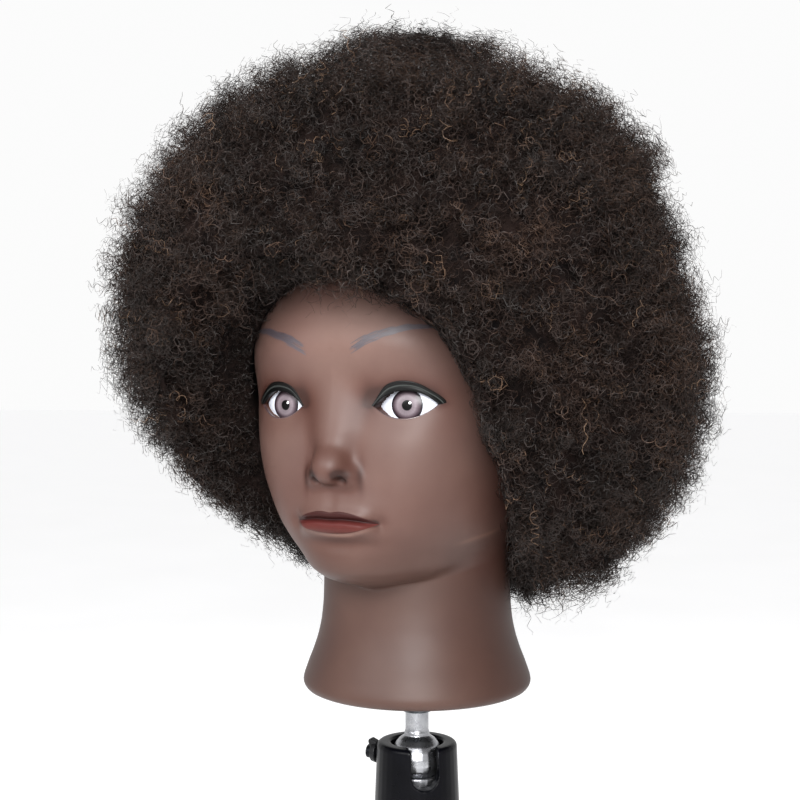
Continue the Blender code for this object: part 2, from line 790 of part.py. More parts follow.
def tommy_bar(group, finish):
    half = BAR_LENGTH / 2
    return cylinder(
        "tommy_bar", BAR_R, BAR_LENGTH, finish, group, matrix=along((1, 0, 0), (-half, 0, BAR_Z)), sides=20,
    )


def bar_caps(group, finish):
    for name, side in (("bar_cap_left", 1), ("bar_cap_right", -1)):
        start = BAR_LENGTH / 2 - 0.008
        profile = [(0.0, 0.0105), (0.0040, 0.0105), (0.0062, 0.0085), (0.0062, 0.0010), (0.0052, 0.0)]
        profile += [(BAR_R + GAP, 0.0), (BAR_R + GAP, 0.0085), (0.0, 0.0085)]
        turned(
            name, profile, finish, group, 24, closed=False,
            matrix=along((side, 0, 0), (side * start, 0, BAR_Z)),
        )


# ---------------------------------------------------------------- assembly
def parent_empty(name, location, children):
    """An empty on a joint's axis, holding the pieces that move with it."""
    pivot = bpy.data.objects.new(name, None)
    bpy.data.collections["mannequin_training_head"].objects.link(pivot)
    pivot.location = location
    bpy.context.view_layer.update()
    for child in children:
        thing = bpy.data.objects[child]
        thing.parent = pivot
        thing.matrix_parent_inverse = pivot.matrix_world.inverted()
    return pivot


def build():
    clear_scene()
    group = new_collection("mannequin_training_head")
    cutters = new_collection("cutters")

    skin = material("skin_vinyl", (0.20, 0.12, 0.11), 0.45)
    foam = material("core_foam", (0.80, 0.74, 0.60), 0.90)
    hair_fibre = material("hair_fibre", (0.020, 0.014, 0.012), 0.75)
    black_plastic = material("black_plastic", (0.020, 0.020, 0.022), 0.45)
    white_nylon = material("white_nylon", (0.75, 0.75, 0.72), 0.50)
    zinc = material("zinc_steel", (0.62, 0.62, 0.64), 0.30, 1.0)
    polished = material("polished_steel", (0.70, 0.68, 0.70), 0.15, 1.0)
    sleeve_black = material("sleeve_black", (0.015, 0.015, 0.017), 0.38)
    frame_black = material("frame_black", (0.020, 0.020, 0.022), 0.50)
    rubber = material("black_rubber", (0.025, 0.025, 0.025), 0.80)

    clamp_frame(group, cutters, frame_black)
    jaw_pad(group, rubber)
    post_grub_screws(group, zinc)
    post_tube(group, frame_black)
    socket_sleeve(group, cutters, sleeve_black)
    sleeve_screws(group, zinc)
    post_adapter(group, black_plastic)
    seat_spring(group, zinc)
    ball_seat(group, polished)

    pressure_pad(group, white_nylon)
    lock_screw(group, zinc)
    lock_knob(group, cutters, black_plastic)

    swivel_foot(group, zinc)
    foot_pad(group, rubber)
    clamp_screw(group, cutters, zinc)
    tommy_bar(group, zinc)
    bar_caps(group, black_plastic)

    ball_stud(group, polished)
    stud_flange(group, zinc)
    thrust_washer(group, white_nylon)
    retaining_washer(group, zinc)
    retaining_nut(group, cutters, zinc)

    holes = screw_holes(cutters)
    head_skin(group, skin)
    head_core(group, cutters, foam)
    neck_plug(group, holes, black_plastic)
    neck_bush(group, white_nylon)
    base_plate(group, holes, black_plastic)
    plate_screws(group, zinc)
    hair(group, cutters, hair_fibre)

    bar = parent_empty("bar_slide", (0, 0, BAR_Z), ("tommy_bar", "bar_cap_left", "bar_cap_right"))
    screw = parent_empty("clamp_turn", (0, 0, THROAT_BOTTOM), ("clamp_screw",))
    parent_empty("clamp_travel", (0, 0, THROAT_BOTTOM), ("swivel_foot", "foot_pad"))
    bar.parent = screw
    bar.matrix_parent_inverse = screw.matrix_world.inverted()
    parent_empty("lock_turn", (-SLEEVE_R, 0, BALL_Z), ("lock_screw", "lock_knob"))
    parent_empty("lock_travel", (-SLEEVE_R, 0, BALL_Z), ("pressure_pad",))
    fixings = [f"plate_screw_{number + 1}" for number in range(PLATE_SCREWS)]
    spin = parent_empty(
        "head_spin", (0, 0, BASE_Z),
        ("head_skin", "head_core", "neck_plug", "neck_bush", "base_plate", "hair_afro", *fixings),
    )
    tilt = parent_empty(
        "ball_tilt", (0, 0, BALL_Z),
        ("ball_stud", "stud_flange", "thrust_washer", "retaining_washer", "retaining_nut"),
    )
    spin.parent = tilt
    spin.matrix_parent_inverse = tilt.matrix_world.inverted()


build()
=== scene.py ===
"""Looks of a mannequin training head with an afro, on a ball-joint table clamp."""

import math

import bpy
import numpy as np
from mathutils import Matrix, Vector


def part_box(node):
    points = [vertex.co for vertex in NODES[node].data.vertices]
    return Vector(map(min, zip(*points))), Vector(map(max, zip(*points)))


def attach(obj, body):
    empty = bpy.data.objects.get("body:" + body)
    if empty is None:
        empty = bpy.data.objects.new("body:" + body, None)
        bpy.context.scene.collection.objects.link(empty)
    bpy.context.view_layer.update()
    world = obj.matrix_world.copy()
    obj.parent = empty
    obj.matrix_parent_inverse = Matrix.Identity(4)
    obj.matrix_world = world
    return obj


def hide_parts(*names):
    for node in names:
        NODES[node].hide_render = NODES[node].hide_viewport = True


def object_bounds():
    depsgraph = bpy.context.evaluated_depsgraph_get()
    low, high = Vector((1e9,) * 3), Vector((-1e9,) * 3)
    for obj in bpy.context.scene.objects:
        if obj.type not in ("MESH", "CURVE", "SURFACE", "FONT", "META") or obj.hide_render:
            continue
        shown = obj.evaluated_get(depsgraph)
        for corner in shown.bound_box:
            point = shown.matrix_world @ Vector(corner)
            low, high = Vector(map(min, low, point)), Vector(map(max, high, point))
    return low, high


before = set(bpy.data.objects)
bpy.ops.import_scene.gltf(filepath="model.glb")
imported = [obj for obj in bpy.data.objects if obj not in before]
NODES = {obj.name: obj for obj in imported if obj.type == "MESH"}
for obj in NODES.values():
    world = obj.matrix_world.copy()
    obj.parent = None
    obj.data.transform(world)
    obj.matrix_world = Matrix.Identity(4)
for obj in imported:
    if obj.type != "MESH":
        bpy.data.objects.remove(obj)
cad_lo, cad_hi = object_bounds()

MM = 0.001
BASE_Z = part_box("head_skin")[0].z       # underside of the neck
NECK_HOLE = 59.6                        # radius of the opening under the neck, mm
HEAD_TOP = 287.0                        # crown above the neck's underside, mm
CORE_GAP = 6.5                          # from the skin's outside to the foam, mm
HAIR_BACK = 6.0                         # hair ball's centre behind the neck axis, mm
HAIR_MIDDLE = 219.0                     # and above the neck's underside, mm
HAIR_RADIUS = 172.0
REACH = 178.0                           # strands are pulled in beyond this, mm from the centre
HAIR_FRONT, HAIR_REAR = 183.0, 196.0    # no strand passes these, mm from the neck axis
HAIR_WIDEST = 190.5
VIEW_TURN = math.radians(26.0)          # the hair's outline below is laid out facing this way
HAIR_OUTLINE = [                        # size of the hair every 15 degrees, from the left over the top
    0.955, 0.93, 0.955, 0.97, 0.95, 0.93, 0.872, 0.96, 1.01, 1.0, 1.055, 1.07,
    1.055, 1.04, 0.97, 0.905, 0.885, 0.92, 0.97, 1.02, 1.10, 1.03, 1.09, 1.025,
]
# height above the neck's underside, and how far right of the neck axis the hair starts there
HAIR_ASIDE = [
    (40, 56), (100, 54), (118, 51), (130, 48), (150, 39), (170, 33),
    (189, 27), (206, 16), (216, 0), (224, -25), (232, -60),
]


# ---------------------------------------------------------------- numbers

NOISE_SIZE = 64
NOISE_TABLE = np.random.default_rng(11).random((NOISE_SIZE,) * 3) * 2 - 1


def noise(points, cell, seed=0):
    """Smooth noise from -1 to 1 at points, with lumps about as wide as cell."""
    grid = points / cell + 17.3 * seed
    corner = np.floor(grid).astype(int)
    part = grid - corner
    part = part * part * (3 - 2 * part)
    total = np.zeros(len(points))
    for i in range(8):
        step = np.array([i & 1, i >> 1 & 1, i >> 2 & 1])
        weight = np.prod(np.where(step, part, 1 - part), axis=1)
        index = (corner + step) % NOISE_SIZE
        total += weight * NOISE_TABLE[index[:, 0], index[:, 1], index[:, 2]]
    return total


def bump(value, width):
    """1 at zero, fading to both sides."""
    return np.exp(-((value / width) ** 2) / 2)


def spots(rows, across, up):
    """Sum of soft spots: strength, middle and width across, middle and width up."""
    return sum(k * bump(across - a, wide) * bump(up - b, tall) for k, a, wide, b, tall in rows)


def ramp(value, low, high):
    """0 below low, 1 above high, smooth between."""
    t = np.clip((value - low) / (high - low), 0, 1)
    return t * t * (3 - 2 * t)


def blend_min(a, b, reach):
    """The smaller of two distances, rounded where they meet."""
    t = np.clip(0.5 + 0.5 * (b - a) / reach, 0, 1)
    return b * (1 - t) + a * t - reach * t * (1 - t)


def smooth_table(rows, step=0.5):
    """Monotone cubic interpolation of a table whose first column rises."""
    rows = np.array(rows, float)
    at, values = rows[:, 0], rows[:, 1:]
    gap = np.diff(at)[:, None]
    slope = np.diff(values, axis=0) / gap
    tangent = np.zeros_like(values)
    tangent[0], tangent[-1] = slope[0], slope[-1]
    same = slope[:-1] * slope[1:] > 0
    mean = 2 * slope[:-1] * slope[1:] / np.where(same, slope[:-1] + slope[1:], 1)
    tangent[1:-1] = np.where(same, mean, 0)
    fine = np.arange(at[0], at[-1] + step / 2, step)
    i = np.clip(np.searchsorted(at, fine, side="right") - 1, 0, len(at) - 2)
    t = ((fine - at[i]) / gap[i, 0])[:, None]
    out = (
        (2 * t**3 - 3 * t**2 + 1) * values[i]
        + (t**3 - 2 * t**2 + t) * gap[i] * tangent[i]
        + (3 * t**2 - 2 * t**3) * values[i + 1]
        + (t**3 - t**2) * gap[i] * tangent[i + 1]
    )
    return fine, out


# ---------------------------------------------------------------- head's shape
# In mm: x to the mannequin's left, f forward, h above the neck's underside.

NECK_ROWS = [
    (0, 63.5), (1, 65.6), (3, 67.2), (5, 67.8), (14, 65.3), (24, 61.5), (33, 58.7), (43, 56.8),
    (55, 55.8), (75, 55.5), (100, 56), (130, 50), (160, 30), (200, 5), (290, 2),
]
# height, half width, front, back, squareness
HEAD_ROWS = [
    (60, 10, 30, 10, 2.0), (68, 22, 66, 20, 2.0), (71, 34, 79, 28, 2.0), (74, 41, 86.5, 36, 2.0),
    (79, 48, 92, 44, 2.05), (86, 53.5, 94.5, 52, 2.1), (95, 60, 96.5, 62, 2.28),
    (105, 65.5, 98.5, 72, 2.42), (118, 70, 99.5, 82, 2.58), (131, 73.5, 99.5, 89, 2.74),
    (150, 76, 100.5, 95, 2.9), (168, 77, 102, 98, 3.0), (185, 77, 105, 98.5, 3.0),
    (200, 76.8, 106.5, 98, 2.9), (215, 76, 105.5, 96.5, 2.7), (230, 74, 101.5, 93, 2.45),
    (245, 69, 93, 86, 2.25), (258, 61, 80, 76, 2.1), (270, 48, 62, 60, 2.05),
    (279, 33, 42, 41, 2.0), (284, 19, 24, 24, 2.0), (286, 8, 10, 10, 2.0), (287, 2, 2, 2, 2.0),
]
NECK_AT, NECK_SIZE = smooth_table(NECK_ROWS)
HEAD_AT, HEAD_SIZE = smooth_table(HEAD_ROWS)

EYE_CENTRE = (33.0, 66.5, 168.5)
EYE_RADII = (26.0, 23.0, 21.0)
EYE_X, EYE_HALF = 38.0, 16.2            # opening: middle and half width
EYE_UP, EYE_DOWN = 7.6, 6.9
IRIS_X, IRIS_H = 37.2, 168.3
LID = 1.7                               # lid's thickness over the eye
MOUTH_HALF = 24.5
MOUTH_H = 106.0


def eye_level(u):
    """Height of the line between the eye's corners; u is -1 inside, 1 outside."""
    return 167.8 + 0.5 * (u + 1)


def eye_opening(x, h):
    """Below 1 inside the eye's almond-shaped opening."""
    u = (np.abs(x) - EYE_X) / EYE_HALF
    v = h - eye_level(np.clip(u, -1, 1))
    return np.abs(u) ** 2.25 + np.where(v > 0, v / EYE_UP, -v / EYE_DOWN)


def lip_lines(x):
    """Heights of the upper lip's top, the mouth line and the lower lip's bottom."""
    u = np.clip(np.abs(x) / MOUTH_HALF, 0, 1)
    top = MOUTH_H + 6.8 * (1 - u**2.4) - 0.9 * bump(x, 2.6)
    line = MOUTH_H + 2.6 * (1 - u**2) - 0.5 * bump(x, 4.0)
    low = MOUTH_H - 5.4 * (1 - u**2.3)
    return top, line, low


FACE_RELIEF = [
    (3.5, 0, 25, 111, 15),                                  # muzzle
    (-1.6, MOUTH_HALF + 0.5, 2.6, MOUTH_H, 3.2),            # mouth's corners
    (-2.6, 0, 15, 95, 4.2),                                 # hollow under the lower lip
    (1.8, 0, 22, 84, 9),                                    # chin
    (-0.5, 0, 2.4, 118, 5), (0.15, 5.2, 2.4, 117.5, 5),     # groove under the nose and its edges
    (-6.2, 33, 19, 173, 12),                                # eye sockets
    (1.6, 26, 20, 199, 8),                                  # brows
    (-2.5, 0, 12, 182, 9),                                  # nose's root
    (1.8, 44, 16, 138, 18),                                 # cheeks
    (-1.2, 26, 7, 118, 11),                                 # folds beside the mouth
]


def relief(x, h):
    """How far the face stands forward of the plain head, in mm."""
    ax = np.abs(x)
    _, line, _ = lip_lines(x)
    inside = 1 - ramp(ax, MOUTH_HALF - 9, MOUTH_HALF + 1.5)
    upper_lip = 1.8 * bump(h - line - 2.6, 2.8)
    lower_lip = 3.6 * bump(h - line + 4.2, 3.4)
    parting = 2.3 * bump(h - line, 1.0)
    return spots(FACE_RELIEF, ax, h) + (upper_lip + lower_lip - parting) * inside


def ball(x, f, h, centre, radii):
    """Distance to an ellipsoid, nearly."""
    q = [(x - centre[0]) / radii[0], (f - centre[1]) / radii[1], (h - centre[2]) / radii[2]]
    near = np.sqrt(q[0] ** 2 + q[1] ** 2 + q[2] ** 2) + 1e-9
    slope = np.sqrt((q[0] / radii[0]) ** 2 + (q[1] / radii[1]) ** 2 + (q[2] / radii[2]) ** 2) + 1e-9
    return near * (near - 1) / slope


def rod(x, f, h, a, b, ra, rb):
    """Distance to a rod with round ends between points a and b."""
    ab = np.array(b, float) - np.array(a, float)
    px, pf, ph = x - a[0], f - a[1], h - a[2]
    t = np.clip((px * ab[0] + pf * ab[1] + ph * ab[2]) / (ab @ ab), 0, 1)
    gap = np.sqrt((px - t * ab[0]) ** 2 + (pf - t * ab[1]) ** 2 + (ph - t * ab[2]) ** 2)
    return gap - (ra + (rb - ra) * t)


def nose(x, f, h):
    ax = np.abs(x)
    d = rod(x, f, h, (0, 85.0, 188), (0, 99.5, 142), 9.5, 8.8)
    d = blend_min(d, ball(x, f, h, (0, 104.6, 135.0), (9.6, 9.6, 8.6)), 9)
    d = blend_min(d, ball(ax, f, h, (10.4, 97.8, 130.8), (5.6, 8.2, 6.4)), 5.0)
    hole = ball(ax, f, h, (7.6, 107.5, 127.4), (3.2, 5.0, 3.4))
    return -blend_min(-d, hole, 1.2)


def eye_ball(x, f, h):
    return ball(np.abs(x), f, h, EYE_CENTRE, EYE_RADII)


def head_gap(x, f, h, carved=False):
    """About how far a point is outside the skin."""
    r = np.hypot(x, f)
    row = np.clip(h, HEAD_AT[0], HEAD_AT[-1])
    wide, front, back, power = (np.interp(row, HEAD_AT, HEAD_SIZE[:, i]) for i in range(4))
    deep = np.where(f > 0, front, back)
    s = ((np.abs(x) / wide) ** power + (np.abs(f) / deep) ** power) ** (1 / power) + 1e-9
    gap = r * (1 - 1 / s) + np.where(h < HEAD_AT[0], 30, 0)
    gap = blend_min(gap, r - np.interp(h, NECK_AT, NECK_SIZE[:, 0]), 7)
    gap = gap - relief(x, h) * ramp(f, 10, 55)
    gap = blend_min(gap, nose(x, f, h), 4.5 + 8.0 * ramp(h, 136, 156))
    lids = blend_min(gap, eye_ball(x, f, h) - LID, 2.5)
    if carved:
        return np.where(eye_opening(x, h) < 1.16, np.maximum(lids, eye_ball(x, f, h) + 1.2), lids)
    return lids


def meet(gap, shape, start=130.0):
    """Marches in from outside the head until gap(distance) is zero."""
    r = np.full(shape, start)
    for _ in range(40):
        r -= np.clip(gap(r), -4, 5) * 0.75
    return r


def front_surface(x, h, gap=head_gap):
    """Forward reach of the surface in front of the points (x, h)."""
    return meet(lambda f: gap(x, f, h), x.shape, 128.0)


def surface_normal(x, f, h, gap=head_gap):
    e = 0.05
    n = np.stack([
        gap(x + e, f, h) - gap(x - e, f, h),
        gap(x, f + e, h) - gap(x, f - e, h),
        gap(x, f, h + e) - gap(x, f, h - e),
    ], axis=-1)
    return n / np.linalg.norm(n, axis=-1, keepdims=True)


def to_world(x, f, h):
    return np.stack([x * MM, -f * MM, BASE_Z + h * MM], axis=-1)


# ---------------------------------------------------------------- meshes


def mesh_object(name, points, faces, uv=None, paint=None):
    """A smooth mesh from points and a list of face arrays. uv and paint are per point."""
    mesh = bpy.data.meshes.new(name)
    mesh.vertices.add(len(points))
    mesh.vertices.foreach_set("co", np.asarray(points, np.float32).ravel())
    corners = np.concatenate([np.asarray(f, np.int32).ravel() for f in faces])
    sizes = np.concatenate([np.full(len(f), f.shape[1]) for f in faces])
    mesh.loops.add(len(corners))
    mesh.loops.foreach_set("vertex_index", corners)
    mesh.polygons.add(len(sizes))
    mesh.polygons.foreach_set("loop_start", np.concatenate([[0], np.cumsum(sizes)[:-1]]).astype(np.int32))
    mesh.polygons.foreach_set("use_smooth", np.ones(len(sizes), bool))
    if uv is not None:
        layer = mesh.uv_layers.new(name="OFBake")
        layer.data.foreach_set("uv", np.asarray(uv, np.float32)[corners].ravel())
    if paint is not None:
        layer = mesh.color_attributes.new("paint", "FLOAT_COLOR", "POINT")
        layer.data.foreach_set("color", np.asarray(paint, np.float32).ravel())
    mesh.update(calc_edges=True)
    obj = bpy.data.objects.new(name, mesh)
    bpy.context.scene.collection.objects.link(obj)
    return obj


def grid_faces(rows, columns, closed=False, flip=False, start=0):
    """Quads of a grid of points in row order."""
    i = np.arange(rows - 1)[:, None]
    j = np.arange(columns if closed else columns - 1)[None, :]
    k = (j + 1) % columns
    quad = np.stack([i * columns + j, i * columns + k, (i + 1) * columns + k, (i + 1) * columns + j], axis=-1)
    quad = quad.reshape(-1, 4) + start
    return quad[:, ::-1] if flip else quad


def finish_piece(obj, finish, body):
    obj.data.materials.append(finish)
    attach(obj, body)
    return obj


# ---------------------------------------------------------------- materials


def add(tree, kind, settings=None, **values):
    """A node with its inputs set or linked: Base_Color means "Base Color", and _0 the first input."""
    made = tree.nodes.new(kind)
    for name, value in (settings or {}).items():
        setattr(made, name, value)
    for name, value in values.items():
        key = int(name[1:]) if name[0] == "_" and name[1:].isdigit() else name.replace("_", " ")
        socket = made.inputs[key]
        if isinstance(value, bpy.types.NodeSocket):
            tree.links.new(value, socket)
        else:
            socket.default_value = value
    return made


def rgb(code):
    """Linear colour from an sRGB hex code."""
    parts = [int(code[i:i + 2], 16) / 255 for i in (0, 2, 4)]
    return tuple(c / 12.92 if c <= 0.04045 else ((c + 0.055) / 1.055) ** 2.4 for c in parts) + (1.0,)


def start_material(name):
    made = bpy.data.materials.new(name)
    made.use_nodes = True
    tree = made.node_tree
    tree.nodes.clear()
    shader = tree.nodes.new("ShaderNodeBsdfPrincipled")
    out = tree.nodes.new("ShaderNodeOutputMaterial")
    tree.links.new(shader.outputs[0], out.inputs[0])
    return made, tree, shader


def object_noise(tree, scale, detail=3.0, rough=0.5, stretch=None):
    place = add(tree, "ShaderNodeTexCoord").outputs["Object"]
    if stretch:
        place = add(tree, "ShaderNodeMapping", _0=place, Scale=stretch).outputs[0]
    made = add(tree, "ShaderNodeTexNoise", Vector=place, Scale=scale, Detail=detail, Roughness=rough)
    return made.outputs["Fac"]


def multiply(tree, colour, shade):
    mode = {"data_type": "RGBA", "blend_type": "MULTIPLY"}
    return add(tree, "ShaderNodeMix", mode, _0=1.0, _6=colour, _7=shade).outputs[2]


def maths(tree, kind, *values):
    inputs = {f"_{i}": value for i, value in enumerate(values)}
    return add(tree, "ShaderNodeMath", {"operation": kind}, **inputs).outputs[0]


def colour_ramp(tree, factor, stops):
    made = add(tree, "ShaderNodeValToRGB", Fac=factor)
    ramp_data = made.color_ramp
    while len(ramp_data.elements) < len(stops):
        ramp_data.elements.new(0.5)
    for element, (place, colour) in zip(ramp_data.elements, stops, strict=True):
        element.position = place
        element.color = rgb(colour) if isinstance(colour, str) else colour
    return made.outputs[0]


def value_range(tree, factor, low, high):
    return add(tree, "ShaderNodeMapRange", Value=factor, To_Min=low, To_Max=high).outputs[0]


def add_bump(tree, shader, height, strength, distance):
    made = add(tree, "ShaderNodeBump", Height=height, Strength=strength, Distance=distance)
    tree.links.new(made.outputs[0], shader.inputs["Normal"])
    return made


def plain_finish(
    name, dark, light, rough, metal=0.0, scale=60.0, grain=900.0, dent=0.15, stretch=None, shine=0.5,
):
    """Moulded, cast, rolled or plated stuff: two tones, uneven gloss and a fine grain."""
    made, tree, shader = start_material(name)
    tone = object_noise(tree, scale, 4.0, 0.6, stretch)
    tree.links.new(colour_ramp(tree, tone, [(0.35, dark), (0.65, light)]), shader.inputs["Base Color"])
    smear = object_noise(tree, scale * 2.3, 5.0, 0.65, stretch)
    tree.links.new(value_range(tree, smear, rough[0], rough[1]), shader.inputs["Roughness"])
    shader.inputs["Metallic"].default_value = metal
    shader.inputs["Specular IOR Level"].default_value = shine
    add_bump(tree, shader, object_noise(tree, grain, 2.0, 0.5, stretch), dent, 0.0002)
    return made


def vinyl_finish(name, painted=True):
    made, tree, shader = start_material(name)
    tone = object_noise(tree, 22.0, 5.0, 0.55)
    base = colour_ramp(tree, tone, [(0.30, "493530"), (0.55, "4e3a34"), (0.75, "533f39")])
    if painted:
        # the paint attribute holds the make-up with painted shade and painted highlights
        paint = add(tree, "ShaderNodeAttribute", {"attribute_name": "paint"}).outputs["Color"]
        base = multiply(tree, base, paint)
    tree.links.new(base, shader.inputs["Base Color"])
    smear = object_noise(tree, 45.0, 4.0, 0.6)
    tree.links.new(value_range(tree, smear, 0.46, 0.54), shader.inputs["Roughness"])
    shader.inputs["Specular IOR Level"].default_value = 0.24
    grain = object_noise(tree, 1500.0, 2.0, 0.5)
    add_bump(tree, shader, grain, 0.12, 0.0002)
    return made


def hair_finish(name):
    """Colour from the strand's tone, which holds painted shade near the skin, and the way along it."""
    made, tree, shader = start_material(name)
    uv = add(tree, "ShaderNodeUVMap", {"uv_map": "OFBake"}).outputs[0]
    parts = add(tree, "ShaderNodeSeparateXYZ", Vector=uv)
    tone = colour_ramp(tree, parts.outputs[0], [
        (0.0, "110d0b"), (0.35, "1e1613"), (0.62, "30231c"), (0.82, "46352a"), (0.93, "594637"),
        (1.0, "6b5643"),
    ])
    streak = add(tree, "ShaderNodeTexNoise", Vector=uv, Scale=37.0, Detail=2.0).outputs["Fac"]
    shade = value_range(tree, streak, 0.75, 1.25)
    tree.links.new(multiply(tree, tone, shade), shader.inputs["Base Color"])
    shader.inputs["Roughness"].default_value = 0.5
    shader.inputs["Specular IOR Level"].default_value = 0.14
    return made


def uv_paint(name, stops, rough, coat, streaks, shine=0.5):
    """Brushed paint whose colour runs across the piece."""
    made, tree, shader = start_material(name)
    uv = add(tree, "ShaderNodeUVMap", {"uv_map": "OFBake"}).outputs[0]
    place = add(tree, "ShaderNodeSeparateXYZ", Vector=uv).outputs[1]
    waver = add(tree, "ShaderNodeTexNoise", Vector=uv, Scale=14.0, Detail=3.0).outputs["Fac"]
    moved = maths(tree, "SUBTRACT", maths(tree, "MULTIPLY_ADD", waver, 0.06, place), 0.03)
    tone = colour_ramp(tree, moved, stops)
    shade = value_range(tree, waver, 1 - streaks, 1 + streaks)
    tree.links.new(multiply(tree, tone, shade), shader.inputs["Base Color"])
    shader.inputs["Roughness"].default_value = rough
    shader.inputs["Specular IOR Level"].default_value = shine
    shader.inputs["Coat Weight"].default_value = coat
    shader.inputs["Coat Roughness"].default_value = 0.06
    return made


def radial_paint(name, stops):
    """Paint whose colour runs from the middle of the piece's map to its edge, with fine spokes."""
    made, tree, shader = start_material(name)
    uv = add(tree, "ShaderNodeUVMap", {"uv_map": "OFBake"}).outputs[0]
    out = add(tree, "ShaderNodeVectorMath", {"operation": "SUBTRACT"}, _0=uv, _1=(0.5, 0.5, 0.0)).outputs[0]
    far = add(tree, "ShaderNodeVectorMath", {"operation": "LENGTH"}, _0=out).outputs["Value"]
    spokes = add(tree, "ShaderNodeVectorMath", {"operation": "NORMALIZE"}, _0=out).outputs[0]
    spokes = add(tree, "ShaderNodeTexNoise", Vector=spokes, Scale=9.0, Detail=3.0).outputs["Fac"]
    tone = colour_ramp(tree, maths(tree, "MULTIPLY", far, 2.06), stops)
    shade = value_range(tree, spokes, 0.78, 1.22)
    tree.links.new(multiply(tree, tone, shade), shader.inputs["Base Color"])
    shader.inputs["Roughness"].default_value = 0.3
    shader.inputs["Specular IOR Level"].default_value = 0.24
    return made


# ---------------------------------------------------------------- head


def head_rows():
    """Heights of the skin mesh's rows, close together where the face has detail."""
    rows = [np.array([0.0, 0.4, 1.0, 1.8, 3.0, 4.2, 5.5])]
    for low, high, step in (
        (7, 60, 2.0), (60, 82, 0.8), (82, 97, 1.0), (97, 110, 0.5), (110, 122, 1.0), (122, 134, 0.6),
        (134, 156, 1.2), (156, 184, 0.6), (184, 216, 1.4), (216, 246, 2.5), (246, 282, 5.0),
    ):
        rows.append(np.arange(low, high - step / 2, step))
    rows.append(np.array([282.0, 285.0, 286.5]))
    return np.concatenate(rows)


def head_columns():
    fine = np.radians(np.arange(-62, 62.01, 0.5))
    coarse = np.radians(np.arange(64.5, 296, 2.5))
    return np.concatenate([fine, coarse])


# Darker spots, each row's kind named beside it: strength, middle and width across, middle and width up.
FACE_SHADES = [
    (0.66, 20, 5.0, 172, 8), (0.22, 56, 6, 172, 8),         # eyes' corners, inner and outer: brown make-up and painted shade
    (0.10, 36, 15, 157, 4),                                 # under the eyes
    (0.26, 12.5, 4.5, 152, 17), (0.24, 0, 9, 140, 9),       # nose's sides and ridge
    (0.16, 13.0, 3.5, 133, 6.0), (0.50, 16.6, 1.3, 130, 6.0),   # painted shade on the nose's wings and in their creases
    (0.30, 0, 12, 124.0, 2.2),                              # painted shade under the nose
    (0.50, 0, 14, 96.6, 2.0),                               # painted shadow under the lower lip
    (0.25, MOUTH_HALF + 1, 3, MOUTH_H + 1, 3),              # painted shade in the mouth's corners
    (0.12, 0, 30, 88, 7),                                   # painted shade on the chin
]


def skin_paint_and_shade(x, f, h):
    """Brown make-up round the eyes; painted shade in the nostrils, creases and mouth, under the nose and
    lower lip, on the lower face and neck and toward the hair; painted highlights on the forehead, under the
    lower lip and along the jaw.
    """
    ax = np.abs(x)
    front = ramp(f, 30, 60)
    nose_end = ramp(f, 96, 103)
    _, lip_line, lip_low = lip_lines(x)
    halo = (eye_opening(x, h) - 1.0) * np.where(h > 168, EYE_UP, EYE_DOWN)
    over_eye = ramp(h, 165, 171) * ramp(ax, 10, 20) * (1 - ramp(ax, 52, 62))
    # brown make-up over the eyes, plus the spots of FACE_SHADES
    dark = 0.8 * np.exp(-np.clip(halo - 4.0, 0, None) / 4.0) * over_eye + spots(FACE_SHADES, ax, h)
    # painted shade in the nostrils
    dark += 1.3 * bump(ax - 7.8, 2.5) * bump(h - 131.2, 2.2) * nose_end
    # painted shade along the mouth's parting
    dark += 1.2 * bump(h - lip_line, 1.2) * (1 - ramp(ax, MOUTH_HALF - 2, MOUTH_HALF + 1))
    # painted shadow of the hair, darker toward the hairline
    dark += 0.16 * ramp(h, 218, 238)
    dark = np.clip(dark * front, 0, 0.79)
    # painted shade: the nostrils stay dark past the clip above
    dark = np.maximum(dark, 0.94 * bump(ax - 7.8, 2.1) * bump(h - 131.2, 1.8) * nose_end)

    # painted shade: the neck darker, most on its sides away from the front, the head darker toward its sides
    # and back, and the lower face darker
    low = 1 - ramp(h, 62, 112)
    shaded_side = ramp(np.abs(np.degrees(np.arctan2(x, f)) - 12), 18, 62)
    light = 1 - dark
    light = light * (1 - 0.38 * (1 - ramp(f, 22, 72)) * ramp(h, 96, 128))
    light = light * (1 - 0.16 * (1 - ramp(h, 112, 146)))
    light = light * (1 - 0.22 * low) * (1 - 0.38 * low * shaded_side)
    dark = 1 - light
    # painted highlight: a pale streak along the jaw's angle
    jaw_highlight = 0.8 * bump(h - 92 - 0.16 * (60 - f), 0.9)
    jaw_highlight = jaw_highlight * ramp(x, 20, 40) * ramp(f, 16, 24) * (1 - ramp(f, 44, 60))
    # painted highlights: a pale line under the lower lip and a pale patch on the forehead
    pale = 2.0 * bump(x - 4, 10) * bump(h - lip_low + 1.0, 0.8) + 1.0 * bump(x, 27) * bump(h - 212, 19)
    pale *= front
    paint = np.ones((len(x), 4))
    # darker paint turns redder; the neck's painted shade is also less red
    paint[:, 0] = (1 - dark) * (1 + 0.30 * dark) * (1 - 0.12 * low) + jaw_highlight * 0.5 + pale * 0.55
    paint[:, 1] = (1 - dark) * (1 - 0.34 * dark) + jaw_highlight * 0.5 + pale * 0.62
    paint[:, 2] = (1 - dark) * (1 - 0.52 * dark) + jaw_highlight * 0.4 + pale * 0.62
    return paint


